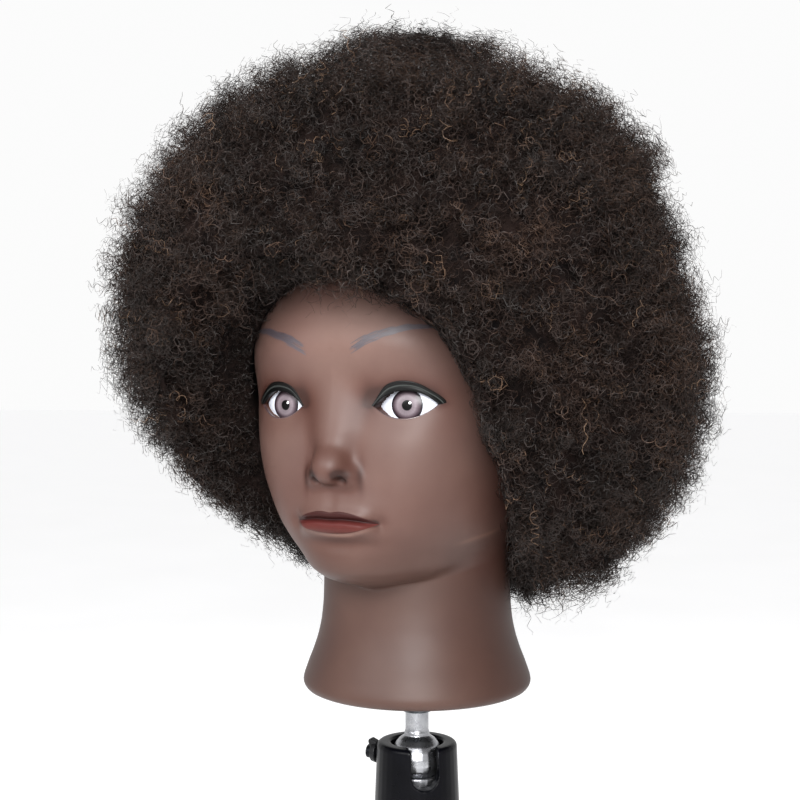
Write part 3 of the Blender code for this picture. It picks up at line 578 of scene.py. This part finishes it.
def make_head(finish):
    heights, turns = head_rows(), head_columns()
    h, turn = np.meshgrid(heights, turns, indexing="ij")
    sin, cos = np.sin(turn).ravel(), np.cos(turn).ravel()
    h = h.ravel()
    r = meet(lambda r: head_gap(sin * r, cos * r, h, True), h.shape)
    x, f = sin * r, cos * r
    n = len(turns)
    low_x, low_f = np.sin(turns), np.cos(turns)
    inner = [(NECK_HOLE, 8.0), (NECK_HOLE, 0.8), (NECK_HOLE + 0.6, 0.1)]
    points = [to_world(low_x * size, low_f * size, np.full(n, up)) for size, up in inner]
    points.append(to_world(x, f, h))
    points.append(to_world(np.zeros(1), np.zeros(1), np.full(1, HEAD_TOP)))
    points = np.concatenate(points)
    rows = len(heights) + len(inner)
    quads = grid_faces(rows, n, closed=True)
    last = (rows - 1) * n
    j = np.arange(n)
    cap = np.stack([last + j, last + (j + 1) % n, np.full(n, len(points) - 1)], axis=-1)
    local = points / MM
    paint = skin_paint_and_shade(local[:, 0], -local[:, 1], (points[:, 2] - BASE_Z) / MM)
    skin = mesh_object("head_vinyl", points, [quads, cap], paint=paint)
    finish_piece(skin, finish, "head")
    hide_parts("head_skin")
    return skin


def make_core(finish):
    """The foam inside, a little smaller than the skin all round, with the fitting's well."""
    turns = np.radians(np.arange(0, 360, 5.0))
    heights = np.concatenate([np.arange(10.5, 92, 6.0), [92.0], np.arange(96, 264, 6.0)])
    h, turn = np.meshgrid(heights, turns, indexing="ij")
    sin, cos, h = np.sin(turn).ravel(), np.cos(turn).ravel(), h.ravel()
    outer = meet(lambda r: head_gap(sin * r, cos * r, h, True) + CORE_GAP, h.shape)
    outer = np.where(h < 94, np.interp(h, NECK_AT, NECK_SIZE[:, 0]) - CORE_GAP, outer)
    n = len(turns)
    low_x, low_f = np.sin(turns), np.cos(turns)
    well_size, well_top, well_low = 30.4, 52.0, 10.5
    points = [to_world(np.zeros(1), np.zeros(1), np.full(1, well_top))]
    points += [to_world(low_x * well_size, low_f * well_size, np.full(n, up)) for up in (well_top, well_low)]
    points.append(to_world(sin * outer, cos * outer, h))
    points.append(to_world(np.zeros(1), np.zeros(1), np.full(1, h[-1])))
    points = np.concatenate(points)
    rows = len(heights) + 2
    quads = grid_faces(rows, n, closed=True, start=1)
    j = np.arange(n)
    last = 1 + (rows - 1) * n
    top = np.stack([last + j, last + (j + 1) % n, np.full(n, len(points) - 1)], axis=-1)
    well = np.stack([1 + (j + 1) % n, 1 + j, np.zeros(n, int)], axis=-1)
    core = mesh_object("foam_core", points, [quads, top, well])
    finish_piece(core, finish, "head")
    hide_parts("head_core")


def patch(name, x, h, lift, finish, gap=head_gap, uv=None, closed=False, paint=False, flip=False):
    """A thin piece laid on the face: x and h are grids of points, lift is how far they stand proud."""
    rows, columns = x.shape
    x, h = x.ravel(), h.ravel()
    f = front_surface(x, h, gap)
    normal = surface_normal(x, f, h, gap)
    lift = np.broadcast_to(lift, (rows, columns)).ravel()
    x, f, h = (value + normal[:, i] * lift for i, value in enumerate((x, f, h)))
    colours = skin_paint_and_shade(x, f, h) if paint else None
    uvs = None if uv is None else np.stack([np.asarray(uv[0]).ravel(), np.asarray(uv[1]).ravel()], axis=-1)
    faces = [grid_faces(rows, columns, closed, flip)]
    return finish_piece(mesh_object(name, to_world(x, f, h), faces, uvs, colours), finish, "head")


def almond(count, grow):
    """Points round the eye's opening, in mm from its middle, pushed out by grow mm."""
    turn = np.linspace(0, 2 * math.pi, count, endpoint=False)
    u = np.sign(np.cos(turn)) * np.abs(np.cos(turn)) ** 0.85
    v = (1 - np.abs(u) ** 2.25) * np.where(np.sin(turn) >= 0, EYE_UP, -EYE_DOWN)
    x = u * EYE_HALF
    y = v + eye_level(u) - eye_level(0.0)
    far = np.hypot(x, y) + 1e-9
    return x * (1 + grow / far), y * (1 + grow / far)


def make_eye(side, word, skin, finishes):
    centre = eye_level(0.0)
    white_x, white_h = [], []
    for share in np.linspace(0.02, 1.0, 12):
        x, y = almond(96, 1.6)
        white_x.append(EYE_X + x * share)
        white_h.append(centre + y * share)
    x, h = np.array(white_x) * side, np.array(white_h)
    uv = (0.5 + (np.array(white_x) - EYE_X) / 40, 0.5 + (h - centre) / 40)
    patch(f"eye_white_{word}", x, h, 0.0, finishes["white"], eye_ball, uv, True, flip=side < 0)

    discs = [                                               # name, radius, lift, rings, move across and up
        ("iris", 8.5, 0.12, 14, 0.0, 0.0), ("pupil", 3.0, 0.20, 6, 0.4, -0.1),
        ("glint", 0.8, 0.30, 4, 2.0, 1.2),
    ]
    for part, size, lift, count, move_x, move_h in discs:
        turn = np.linspace(0, 2 * math.pi, 64, endpoint=False)[None, :]
        ring = np.linspace(0.03, 1.0, count)[:, None]
        mid_x, mid_h = side * IRIS_X + move_x, IRIS_H + move_h
        x, h = mid_x + ring * size * np.cos(turn), mid_h + ring * size * np.sin(turn)
        edge = np.where(ring > 0.97, lift * 0.3, lift) * np.ones_like(turn)
        uv = (0.5 + 0.48 * ring * np.cos(turn), 0.5 + 0.48 * ring * np.sin(turn))
        patch(f"eye_{part}_{word}", x, h, edge, finishes[part], eye_ball, uv, True)

    rings = [
        (-0.05, -LID - 0.3), (0.0, -0.5), (0.15, -0.12), (0.45, 0.05), (1.0, 0.07), (1.8, 0.07), (2.8, 0.06),
        (4.0, 0.04),
    ]
    x = np.array([EYE_X + almond(160, grow)[0] for grow, _ in rings]) * side
    h = np.array([centre + almond(160, grow)[1] for grow, _ in rings])
    lift = np.array([up for _, up in rings])[:, None] * np.ones((1, 160))
    patch(f"eyelids_{word}", x, h, lift, skin, closed=True, paint=True, flip=side < 0)

    t = np.linspace(0, 1, 90)[None, :]
    profile = np.array([                                    # share of the liner's width, height in mm
        (0.0, -1.6), (0.0, 0.1), (0.06, 0.45), (0.16, 0.62), (0.28, 0.6), (0.38, 0.42), (0.44, 0.3),
        (0.5, 0.3), (0.6, 0.36), (0.7, 0.34), (0.78, 0.26), (0.84, 0.32), (0.9, 0.4), (0.96, 0.3),
        (1.0, 0.08), (1.0, -0.4),
    ])
    across, raised = profile[:, :1], profile[:, 1:]
    u = -1.06 + 2.10 * t
    inner = np.clip(u, -1, 1)
    base_h = eye_level(inner) + EYE_UP * (1 - np.abs(inner) ** 2.25)
    base_x = EYE_X + EYE_HALF * u
    width = 5.3 * np.sin(np.pi * np.clip(t * 0.93 + 0.06, 0, 1)) ** 0.5 * (0.45 + 0.55 * ramp(t, 0.0, 0.3))
    slope = np.gradient(base_h[0], base_x[0])[None, :] * 0.6
    nx, nh = -slope / np.hypot(1, slope), 1 / np.hypot(1, slope)
    x = (base_x + nx * width * across + (across * 2.5) * ramp(t, 0.8, 1.0)) * side
    h = base_h + nh * width * across - 0.1
    lift = raised * np.clip(width / 3.5, 0.25, 1)
    uv = (np.broadcast_to(t, x.shape), np.broadcast_to(across, x.shape))
    patch(f"eye_liner_{word}", x, h, lift, finishes["liner"], uv=uv, flip=side < 0)

    across = np.array([0.0, 0.0, 0.3, 0.7, 1.0, 1.0])[:, None]
    raised = np.array([-1.4, 0.0, 0.16, 0.16, 0.05, -0.3])[:, None]
    u = -0.96 + 1.94 * t
    base_h = eye_level(u) - EYE_DOWN * (1 - np.abs(u) ** 2.25)
    width = 0.75 * np.sin(np.pi * np.clip(t * 0.9 + 0.05, 0, 1)) ** 0.6
    x = (EYE_X + EYE_HALF * u + 0 * across) * side
    h = base_h - width * across + 0.05
    uv = (np.broadcast_to(t, x.shape), np.broadcast_to(across, x.shape))
    lift = raised + 0 * t
    patch(f"eye_lower_line_{word}", x, h, lift, finishes["lower"], uv=uv, flip=side > 0)


def make_lips(finish):
    t = np.linspace(-1, 1, 121)[None, :]
    across = np.concatenate([[0.0], np.linspace(0.0, 1.0, 29), [1.0]])[:, None]
    x = MOUTH_HALF * np.sign(t) * np.abs(t) ** 0.9 + 0 * across
    top, line, low = lip_lines(x)
    share = np.where(across < 0.5, across * 2, (across - 0.5) * 2)
    h = np.where(across < 0.5, low + (line - low) * share, line + (top - line) * share)
    lift = np.full(x.shape, 0.10)
    lift[0], lift[-1] = -0.3, -0.3
    lift[1], lift[-2] = 0.03, 0.03
    uv = (np.broadcast_to(t * 0.5 + 0.5, x.shape), np.broadcast_to(across, x.shape))
    patch("lip_paint", x, h, lift, finish, uv=uv)


def make_brows(finish):
    """Thin painted strokes that follow the brow from its inner end to its tail."""
    draw = np.random.default_rng(23)
    line = np.array([(13.0, 197.0), (22.0, 202.0), (31.0, 205.2), (42.0, 208.3), (55.0, 209.0)])
    for side, word in ((1, "left"), (-1, "right")):
        points, faces, uvs = [], [], []
        for i in range(230):
            t = draw.random() * 0.88
            begin = 13 + 42 * t + draw.normal() * 0.5
            spread = 3.0 * (1 - t) + 0.7
            low = np.interp(begin, line[:, 0], line[:, 1]) + draw.uniform(-1, 1) * spread * 0.8
            long = draw.uniform(5.0, 9.0) * (1.1 - 0.4 * t)
            tilt = math.radians(draw.uniform(8, 30) * (1 - t) + 4)
            s = np.linspace(0, 1, 8)
            x = begin + long * s * math.cos(tilt)
            follow = np.interp(x, line[:, 0], line[:, 1]) - np.interp(begin, line[:, 0], line[:, 1])
            h = low + follow * 0.75 + long * s * math.sin(tilt) * 0.35
            half = draw.uniform(0.16, 0.30) * np.sin(np.pi * np.clip(s * 0.9 + 0.07, 0, 1)) ** 0.7
            gx = np.stack([x, x, x]) * side
            gh = np.stack([h - half, h, h + half])
            f = front_surface(gx.ravel(), gh.ravel())
            normal = surface_normal(gx.ravel(), f, gh.ravel())
            lift = np.repeat([0.01, 0.07, 0.01], 8)
            place = np.stack([gx.ravel(), f, gh.ravel()], axis=-1) + normal * lift[:, None]
            faces.append(grid_faces(3, 8, flip=side < 0, start=24 * i))
            points.append(to_world(*place.T))
            uvs.append(np.stack([np.tile(s, 3), np.full(24, draw.random())], axis=-1))
        brow = mesh_object(f"brow_{word}", np.concatenate(points), faces, np.concatenate(uvs))
        finish_piece(brow, finish, "head")


# ---------------------------------------------------------------- hair


def head_frame(points):
    return points[:, 0] / MM, -points[:, 1] / MM, (points[:, 2] - BASE_Z) / MM


def hair_size(points):
    """How much larger than a ball the hair is towards each point."""
    local = points / MM - np.array([0, HAIR_BACK, BASE_Z / MM + HAIR_MIDDLE])
    across = local[:, 0] * math.cos(VIEW_TURN) + local[:, 1] * math.sin(VIEW_TURN)
    turn = np.degrees(np.arctan2(local[:, 2], across)) % 360
    size = np.interp(turn, np.arange(0, 361, 15), [*HAIR_OUTLINE, HAIR_OUTLINE[0]])
    size += 0.030 * noise(local, 36, 74) + 0.026 * noise(local, 17, 71)
    side = np.hypot(across, local[:, 2]) / (np.linalg.norm(local, axis=1) + 1e-9)
    return 1 + (size - 1) * ramp(side, 0.5, 0.92)


def clear_face(points, slack=0.0):
    """Moves hair that would cover the cheek and neck aside."""
    x, y, h = points[:, 0] / MM, points[:, 1] / MM, (points[:, 2] - BASE_Z) / MM
    across = x * math.cos(VIEW_TURN) + y * math.sin(VIEW_TURN)
    ahead = x * math.sin(VIEW_TURN) - y * math.cos(VIEW_TURN)
    table = np.array(HAIR_ASIDE, float)
    mm = points / MM
    start = np.interp(h, table[:, 0], table[:, 1]) + 2.5 * noise(mm, 11, 61) + 1.6 * noise(mm, 5, 62) - slack
    near = ramp(across, -28, -4) * ramp(ahead, -35, -5)
    push = np.clip(start - across, 0, 60) * 0.88 * near
    moved = points.copy()
    moved[:, 0] += push * math.cos(VIEW_TURN) * MM
    moved[:, 1] += push * math.sin(VIEW_TURN) * MM
    return moved


def mesh_arrays(mesh):
    count = len(mesh.vertices)
    points, normals = np.zeros(count * 3), np.zeros(count * 3)
    mesh.vertices.foreach_get("co", points)
    mesh.vertices.foreach_get("normal", normals)
    return points.reshape(-1, 3), normals.reshape(-1, 3)


def make_hair_mass(finish):
    """The dark inside of the hair, darker than the strands as painted shade deep in the hair: the plain
    solid, remeshed, softened, shrunk and broken into tufts.
    """
    rough = bpy.data.objects.new("hair_mass_start", NODES["hair_afro"].data.copy())
    bpy.context.scene.collection.objects.link(rough)
    remesh = rough.modifiers.new("Remesh", "REMESH")
    remesh.mode = "VOXEL"
    remesh.voxel_size = 3.6 * MM
    soften = rough.modifiers.new("Smooth", "SMOOTH")
    soften.iterations = 10
    bpy.context.view_layer.update()
    mesh = bpy.data.meshes.new_from_object(rough.evaluated_get(bpy.context.evaluated_depsgraph_get()))
    bpy.data.objects.remove(rough)
    points, normals = mesh_arrays(mesh)
    gap = head_gap(*head_frame(points))
    mm = points / MM
    deep = ramp(gap, 2, 60)
    lump = 5.5 * noise(mm, 34, 4) + 3.6 * noise(mm, 16, 1) + 1.6 * noise(mm, 7, 2)
    points += normals * ((lump * (0.25 + 0.75 * deep) - 3.0 - 10.5 * deep) * ramp(gap, 0.5, 9) * MM)[:, None]
    centre = np.array([0, HAIR_BACK * MM, BASE_Z + HAIR_MIDDLE * MM])
    size = 1 + (hair_size(points) - 1) * ramp(gap, 20, 70)
    points = clear_face(centre + (points - centre) * size[:, None])
    mesh.vertices.foreach_set("co", points.astype(np.float32).ravel())
    mesh.polygons.foreach_set("use_smooth", np.ones(len(mesh.polygons), bool))
    mesh.materials.clear()
    mesh.update()
    mass = bpy.data.objects.new("hair_mass", mesh)
    bpy.context.scene.collection.objects.link(mass)
    finish_piece(mass, finish, "head")
    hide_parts("hair_afro")
    return mass


def strand_roots(mass, count, draw):
    """Points spread evenly over the mass's open surface, with its outward direction."""
    mesh = mass.data
    mesh.calc_loop_triangles()
    tris = np.zeros(len(mesh.loop_triangles) * 3, np.int32)
    mesh.loop_triangles.foreach_get("vertices", tris)
    tris = tris.reshape(-1, 3)
    points, normals = mesh_arrays(mesh)
    corners = points[tris]
    area = np.linalg.norm(np.cross(corners[:, 1] - corners[:, 0], corners[:, 2] - corners[:, 0]), axis=1)
    middle = corners.mean(1)
    outward = unit(normals[tris].mean(1))
    here = head_gap(*head_frame(middle))
    ahead = head_gap(*head_frame(middle + outward * 8 * MM))
    edge = 1 - ramp(here, 4, 22)
    share = area * ((ahead > here - 5.0) | (here > 14)) * (here > -3) * (1 + 1.6 * edge)
    pick = draw.choice(len(tris), count, p=share / share.sum())
    a, b = draw.random(count), draw.random(count)
    over = a + b > 1
    a[over], b[over] = 1 - a[over], 1 - b[over]
    first, second, third = (corners[pick, i] for i in range(3))
    return first + a[:, None] * (second - first) + b[:, None] * (third - first), outward[pick]


def unit(v):
    return v / (np.linalg.norm(v, axis=-1, keepdims=True) + 1e-12)


def make_curls(mass, finish, count, steps, thick):
    """Coiled strands as thin ribbons, in clumps that lean together."""
    draw = np.random.default_rng(7)
    spot, outward = strand_roots(mass, count, draw)
    mm = spot / MM
    gap = head_gap(*head_frame(spot))
    room = ramp(gap, 0, 30)
    skin_out = surface_normal(*head_frame(spot))
    skin_out = np.stack([skin_out[:, 0], -skin_out[:, 1], skin_out[:, 2]], axis=1)
    clump = np.stack([noise(mm, 15, 10 + i) for i in range(3)], axis=1)
    fine = np.stack([noise(mm, 6, 20 + i) for i in range(3)], axis=1)
    loose = draw.random(count) < 0.09
    lean = outward + 0.9 * clump + 0.7 * fine + draw.normal(0, 0.33, (count, 3))
    lean = unit(lean + skin_out * (0.5 * (1 - room))[:, None])
    lean = unit(lean + outward * np.clip(0.3 - np.sum(lean * outward, axis=1), 0, 2)[:, None])
    centre = np.array([0, HAIR_BACK, BASE_Z / MM + HAIR_MIDDLE])
    depth = HAIR_RADIUS * hair_size(spot) - np.linalg.norm(mm - centre, axis=1)
    outside = 1 - ramp(depth, 18, 42)
    tuft = np.clip(1 + 0.42 * noise(mm, 22, 50) + 0.45 * noise(mm, 11, 51), 0.25, 2)
    spread = draw.beta(2.2, 2.6, count) * 2
    long = (4.0 + 4.5 * room + 11.0 * outside * spread * tuft) * draw.uniform(0.8, 1.2, count)
    long += loose * draw.uniform(3, 10, count) * outside
    curl = draw.uniform(1.1, 2.9, count) * (1 + 0.3 * noise(mm, 9, 30))
    curl = curl * (0.55 + 0.45 * room) * (1 + 0.3 * loose)
    turns = np.clip(long / draw.uniform(3.6, 7.0, count), 0.9, 4.2)
    phase = draw.uniform(0, 2 * math.pi, count) + 2.5 * noise(mm, 6, 31)
    hand = np.where(draw.random(count) < 0.5, 1.0, -1.0)
    side = unit(np.cross(lean, draw.normal(0, 1, (count, 3))))
    up = np.cross(lean, side)
    bend = draw.normal(0, 1, (count, 3)) * (0.25 * long)[:, None] + clump * 6
    sway, swell = draw.uniform(0, 6.3, count), draw.uniform(0.5, 1.6, count)
    t = np.linspace(0, 1, steps)
    begin = spot - lean * (2.0 * MM)
    path = np.zeros((count, steps, 3))
    for k, s in enumerate(t):
        grow = min(1.0, s * 4) * (1 + 0.28 * np.sin(sway + 7.0 * swell * s))
        angle = phase + hand * (turns * 2 * math.pi * s + 0.5 * np.sin(sway * 2 + 9.0 * s))
        swing = (side * np.cos(angle)[:, None] + up * np.sin(angle)[:, None]) * (curl * grow)[:, None]
        path[:, k] = begin + (lean * (s * (long + 2.0))[:, None] + swing + bend * s * s * 0.5) * MM
    far = np.linalg.norm(path / MM - centre, axis=2)
    reach = (REACH * hair_size(spot) + draw.normal(-1.5, 2.2, count))[:, None]
    pull = np.where(far > reach, reach + (far - reach) * 0.45, far) / far
    path = (centre + (path / MM - centre) * pull[..., None]) * MM
    moved = clear_face(path.reshape(-1, 3), 5.0).reshape(path.shape)
    astray = np.linalg.norm(moved - path, axis=2).max(1) / MM > 4.0
    path = moved
    path[..., 0] = np.clip(path[..., 0], -HAIR_WIDEST * MM, HAIR_WIDEST * MM)
    path[..., 1] = np.clip(path[..., 1], -HAIR_FRONT * MM, HAIR_REAR * MM)
    tangent = unit(np.gradient(path, axis=1))
    facing = unit(np.cross(tangent, draw.normal(0, 1, (count, 1, 3)) + 0.3 * outward[:, None, :]))
    half = (draw.uniform(0.75, 1.25, count) * np.where(loose, 0.7, 1.0))[:, None] * (1 - 0.6 * t**3)[None, :]
    half = half * (thick / 2 * MM)
    tone = 0.27 + 0.20 * noise(mm, 26, 40) + 0.15 * noise(mm, 8, 41) + draw.normal(0, 0.13, count)
    tone = np.clip(tone, 0, 0.74)
    tone = np.where(draw.random(count) < 0.035, draw.uniform(0.66, 0.97, count), tone)
    # painted shade: strands darker the closer their roots lie to the skin
    tone *= 0.4 + 0.6 * ramp(gap, 4, 46)
    low, high = path - facing * half[..., None], path + facing * half[..., None]
    inside = head_gap(*head_frame(path.reshape(-1, 3))).reshape(count, steps)
    keep = np.flatnonzero((inside[:, steps // 3:].min(1) > 0.1) & ~astray)
    parts = max(1, math.ceil(len(keep) * (steps - 1) * 2 / 190000))
    order = draw.permutation(keep)
    for number, group in enumerate(np.array_split(order, parts), 1):
        n = len(group)
        points = np.stack([low[group], high[group]], axis=2).reshape(-1, 3)
        first = (np.arange(n)[:, None] * steps + np.arange(steps - 1)[None, :]).ravel() * 2
        quads = np.stack([first, first + 1, first + 3, first + 2], axis=-1)
        u = np.repeat(0.01 + 0.98 * tone[group], steps * 2)
        v = np.tile(np.repeat(0.02 + 0.96 * t, 2), n)
        curls = mesh_object(f"hair_curls_{number}", points, [quads], np.stack([u, v], axis=-1))
        finish_piece(curls, finish, "head")


# ---------------------------------------------------------------- the head's pieces

skin = vinyl_finish("satin_vinyl")
make_head(skin)

# the white darkens toward its top edge and a little toward its bottom: painted shade from the lids
white_stops = [(0.0, "b4b8c4"), (0.5, "c3c6cf"), (1.0, "8f8f9b")]
white = uv_paint("eye_white_paint", white_stops, 0.3, 0.0, 0.02, 0.25)
iris = radial_paint("iris_paint", [
    (0.0, "2a2226"), (0.28, "594f54"), (0.58, "6a6065"), (0.76, "43373d"), (0.90, "1d141a"), (1.0, "0e090c"),
])
pupil = uv_paint("pupil_paint", [(0.0, "030203"), (1.0, "060405")], 0.3, 0.0, 0.1, 0.15)
glint = uv_paint("glint_paint", [(0.0, "f4f4f6"), (1.0, "ffffff")], 0.1, 0.5, 0.02)
# black liner whose grey middle stripe is grey paint and also a painted highlight of its sheen
liner = uv_paint("liner_paint", [
    (0.0, "030303"), (0.40, "040404"), (0.50, "202221"), (0.57, "343735"), (0.64, "080808"), (1.0, "080605"),
], 0.38, 0.0, 0.1, 0.15)
lower = uv_paint("lower_line_paint", [(0.0, "3a2b2c"), (1.0, "4f3d3b")], 0.3, 0.3, 0.1)
finishes = {"white": white, "iris": iris, "pupil": pupil, "glint": glint, "liner": liner, "lower": lower}
make_eye(1, "left", skin, finishes)
make_eye(-1, "right", skin, finishes)
# lips: darkest along the mouth's parting, a painted shade
make_lips(uv_paint("lip_paint_red", [
    (0.0, "45241f"), (0.10, "431d19"), (0.38, "401917"), (0.47, "260b09"), (0.52, "160505"),
    (0.60, "260e0c"), (0.90, "290f0d"), (1.0, "321a17"),
], 0.5, 0.0, 0.15, 0.12))
make_brows(uv_paint("brow_paint", [(0.0, "342d31"), (1.0, "3d363b")], 0.5, 0.0, 0.1))

make_core(plain_finish("foam_blown", "b8a98c", "c9bb9f", (0.85, 0.95), scale=120.0, grain=700.0, dent=0.6))

hair = hair_finish("curly_hair")
# near black, darker than the strands: the hair's own dark colour with painted shade deep inside it
mass_finish = plain_finish(
    "hair_inside", "070505", "17100e", (0.8, 0.95), scale=90.0, grain=420.0, dent=1.0, shine=0.04,
)
mass = make_hair_mass(mass_finish)
make_curls(mass, hair, 54000, 19, 0.38)

# ---------------------------------------------------------------- the CAD parts' finishes

FINISHES = {
    "foam": plain_finish("foam", "b8a98c", "c9bb9f", (0.85, 0.95), scale=120.0, grain=700.0, dent=0.6),
    "plastic": plain_finish(
        "black_plastic_moulded", "0a0a0b", "101012", (0.38, 0.5), grain=1400.0, dent=0.2, shine=0.2,
    ),
    "nylon": plain_finish("white_nylon_turned", "cfcdc6", "dedcd6", (0.4, 0.5), grain=900.0, dent=0.15),
    "zinc": plain_finish("zinc_plated", "565a5d", "7d8184", (0.25, 0.42), 1.0, 140.0, 1200.0, 0.2),
    "oxide": plain_finish("black_oxide_steel", "141517", "1c1d20", (0.35, 0.5), 1.0, 140.0, 1200.0, 0.2),
    "chrome": plain_finish("polished_steel_turned", "87888c", "a6a7aa", (0.2, 0.36), 1.0, 90.0, 2200.0, 0.06),
    "sleeve": plain_finish(
        "satin_black_sleeve", "020204", "040407", (0.24, 0.34), grain=1500.0, dent=0.2, shine=0.08,
    ),
    "frame": plain_finish("powder_black", "0c0c0d", "131314", (0.45, 0.6), grain=1100.0, dent=0.6),
    "post": plain_finish(
        "post_black", "0f0f10", "171718", (0.3, 0.42), grain=1300.0, dent=0.25, stretch=(1, 1, 0.15),
    ),
    "rubber": plain_finish("ribbed_rubber", "101010", "181817", (0.75, 0.9), grain=700.0, dent=0.5),
}
NODE_FINISH = {
    "head_core": "foam", "neck_plug": "plastic", "neck_bush": "nylon", "base_plate": "plastic",
    "plate_screw_1": "zinc", "plate_screw_2": "zinc", "plate_screw_3": "zinc",
    "ball_stud": "chrome", "stud_flange": "zinc", "thrust_washer": "nylon",
    "retaining_washer": "zinc", "retaining_nut": "zinc",
    "socket_sleeve": "sleeve", "ball_seat": "chrome", "seat_spring": "zinc", "post_adapter": "plastic",
    "sleeve_screw_front": "zinc", "sleeve_screw_rear": "zinc", "post_tube": "post",
    "clamp_frame": "frame", "post_grub_screw_left": "zinc", "post_grub_screw_right": "zinc",
    "jaw_pad": "rubber", "pressure_pad": "nylon", "lock_screw": "oxide", "lock_knob": "plastic",
    "swivel_foot": "zinc", "foot_pad": "rubber", "clamp_screw": "zinc",
    "tommy_bar": "zinc", "bar_cap_left": "plastic", "bar_cap_right": "plastic",
}
for node_name, finish_name in NODE_FINISH.items():
    for material_slot in NODES[node_name].material_slots:
        material_slot.material = FINISHES[finish_name]


def smooth_copy(node_name, voxel):
    """The same part with its facets rounded off."""
    source = NODES[node_name]
    start = bpy.data.objects.new(f"{node_name}_start", source.data.copy())
    bpy.context.scene.collection.objects.link(start)
    start.matrix_world = source.matrix_world
    weld = start.modifiers.new("Weld", "WELD")
    weld.merge_threshold = 0.00001
    remesh = start.modifiers.new("Remesh", "REMESH")
    remesh.mode = "VOXEL"
    remesh.voxel_size = voxel * MM
    soften = start.modifiers.new("Smooth", "SMOOTH")
    soften.iterations = 6
    bpy.context.view_layer.update()
    mesh = bpy.data.meshes.new_from_object(start.evaluated_get(bpy.context.evaluated_depsgraph_get()))
    mesh.transform(source.matrix_world)
    bpy.data.objects.remove(start)
    mesh.name = f"{node_name}_smooth"
    mesh.polygons.foreach_set("use_smooth", np.ones(len(mesh.polygons), bool))
    mesh.materials.clear()
    piece = bpy.data.objects.new(f"{node_name}_smooth", mesh)
    bpy.context.scene.collection.objects.link(piece)
    return piece


SMOOTH = {                              # body, material slot and voxel size in mm
    "ball_stud": ("ball", "polished_steel", 0.45),
    "socket_sleeve": ("stand", "sleeve_black", 0.68),
    "ball_seat": ("stand", "polished_steel", 0.45),
    "lock_knob": ("lock_screw", "black_plastic", 0.3),
}
for node_name, (body, slot_name, voxel) in SMOOTH.items():
    round_part = smooth_copy(node_name, voxel)
    finish_piece(round_part, FINISHES[NODE_FINISH[node_name]], body)
    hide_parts(node_name)

# ---------------------------------------------------------------- room, lights, camera

CAMERA_TURN = math.radians(26.0)
CAMERA_FAR = 0.75
EYE_H = 0.171                           # lens height above the neck's underside
AIM_LEFT = 0.0102                       # the view's middle passes this far left of the neck axis
CLAMP_DROP = 0.035                      # how far the clamp's screw and bar sink when it opens
FLOOR_GAP = 0.004
FLOOR_HALF = 60.0
FLOOR_GLOW = 0.5
HORIZON, OVERHEAD = (0.97, 0.97, 0.97, 1), (0.52, 0.52, 0.53, 1)

toward = Vector((math.sin(CAMERA_TURN), -math.cos(CAMERA_TURN), 0))
right = Vector((math.cos(CAMERA_TURN), math.sin(CAMERA_TURN), 0))
eye = toward * CAMERA_FAR + Vector((0, 0, BASE_Z + EYE_H))
aim = Vector((0, 0, BASE_Z + EYE_H)) - right * AIM_LEFT
lens = bpy.data.cameras.new("camera")
lens.sensor_width = 36.0
lens.lens = 56.25
camera = bpy.data.objects.new("camera", lens)
bpy.context.scene.collection.objects.link(camera)
camera.location = eye
camera.rotation_mode = "QUATERNION"
camera.rotation_quaternion = (aim - eye).to_track_quat("-Z", "Y")
bpy.context.scene.camera = camera

floor_z = cad_lo.z - CLAMP_DROP - FLOOR_GAP
corners = np.array([
    (-FLOOR_HALF, -FLOOR_HALF, floor_z), (FLOOR_HALF, -FLOOR_HALF, floor_z),
    (FLOOR_HALF, FLOOR_HALF, floor_z), (-FLOOR_HALF, FLOOR_HALF, floor_z),
])
floor = mesh_object("floor", corners, [np.array([[0, 1, 2, 3]])])
floor_finish = plain_finish(
    "pale_floor", "d6d6d6", "dadada", (0.8, 0.9), scale=3.0, grain=400.0, dent=0.02, shine=0.1,
)
floor_shader = floor_finish.node_tree.nodes["Principled BSDF"]
floor_shader.inputs["Emission Color"].default_value = (1, 1, 1, 1)
floor_shader.inputs["Emission Strength"].default_value = FLOOR_GLOW
floor.data.materials.append(floor_finish)

world = bpy.data.worlds.new("studio")
bpy.context.scene.world = world
world.use_nodes = True
air = world.node_tree
way = add(air, "ShaderNodeTexCoord").outputs["Generated"]
rise = add(air, "ShaderNodeVectorMath", {"operation": "DOT_PRODUCT"}, _0=way, _1=(0, 0, 1))
sky = colour_ramp(air, rise.outputs["Value"], [(0.0, HORIZON), (0.30, HORIZON), (0.62, OVERHEAD)])
air.links.new(sky, air.nodes["Background"].inputs[0])
air.nodes["Background"].inputs[1].default_value = 1.0


def soft_light(name, turn, rise, far, wide, power):
    """A round lamp aimed at the head. Turn and rise are in degrees, and turn 0 is in front of the face."""
    data = bpy.data.lights.new(name, "AREA")
    data.shape = "DISK"
    data.size = wide
    data.energy = power
    lamp = bpy.data.objects.new(name, data)
    bpy.context.scene.collection.objects.link(lamp)
    turn, rise = math.radians(turn), math.radians(rise)
    back = Vector((math.sin(turn) * math.cos(rise), -math.cos(turn) * math.cos(rise), math.sin(rise)))
    middle = Vector((0, 0, BASE_Z + 0.17))
    lamp.location = middle + back * far
    lamp.rotation_mode = "QUATERNION"
    lamp.rotation_quaternion = back.to_track_quat("Z", "Y")


soft_light("key", 24, 17, 1.7, 0.8, 60.0)
soft_light("high", -22, 24, 1.7, 0.9, 19.0)
soft_light("rim", 215, 40, 1.8, 0.8, 14.0)
bpy.context.scene.view_settings.view_transform = "Standard"
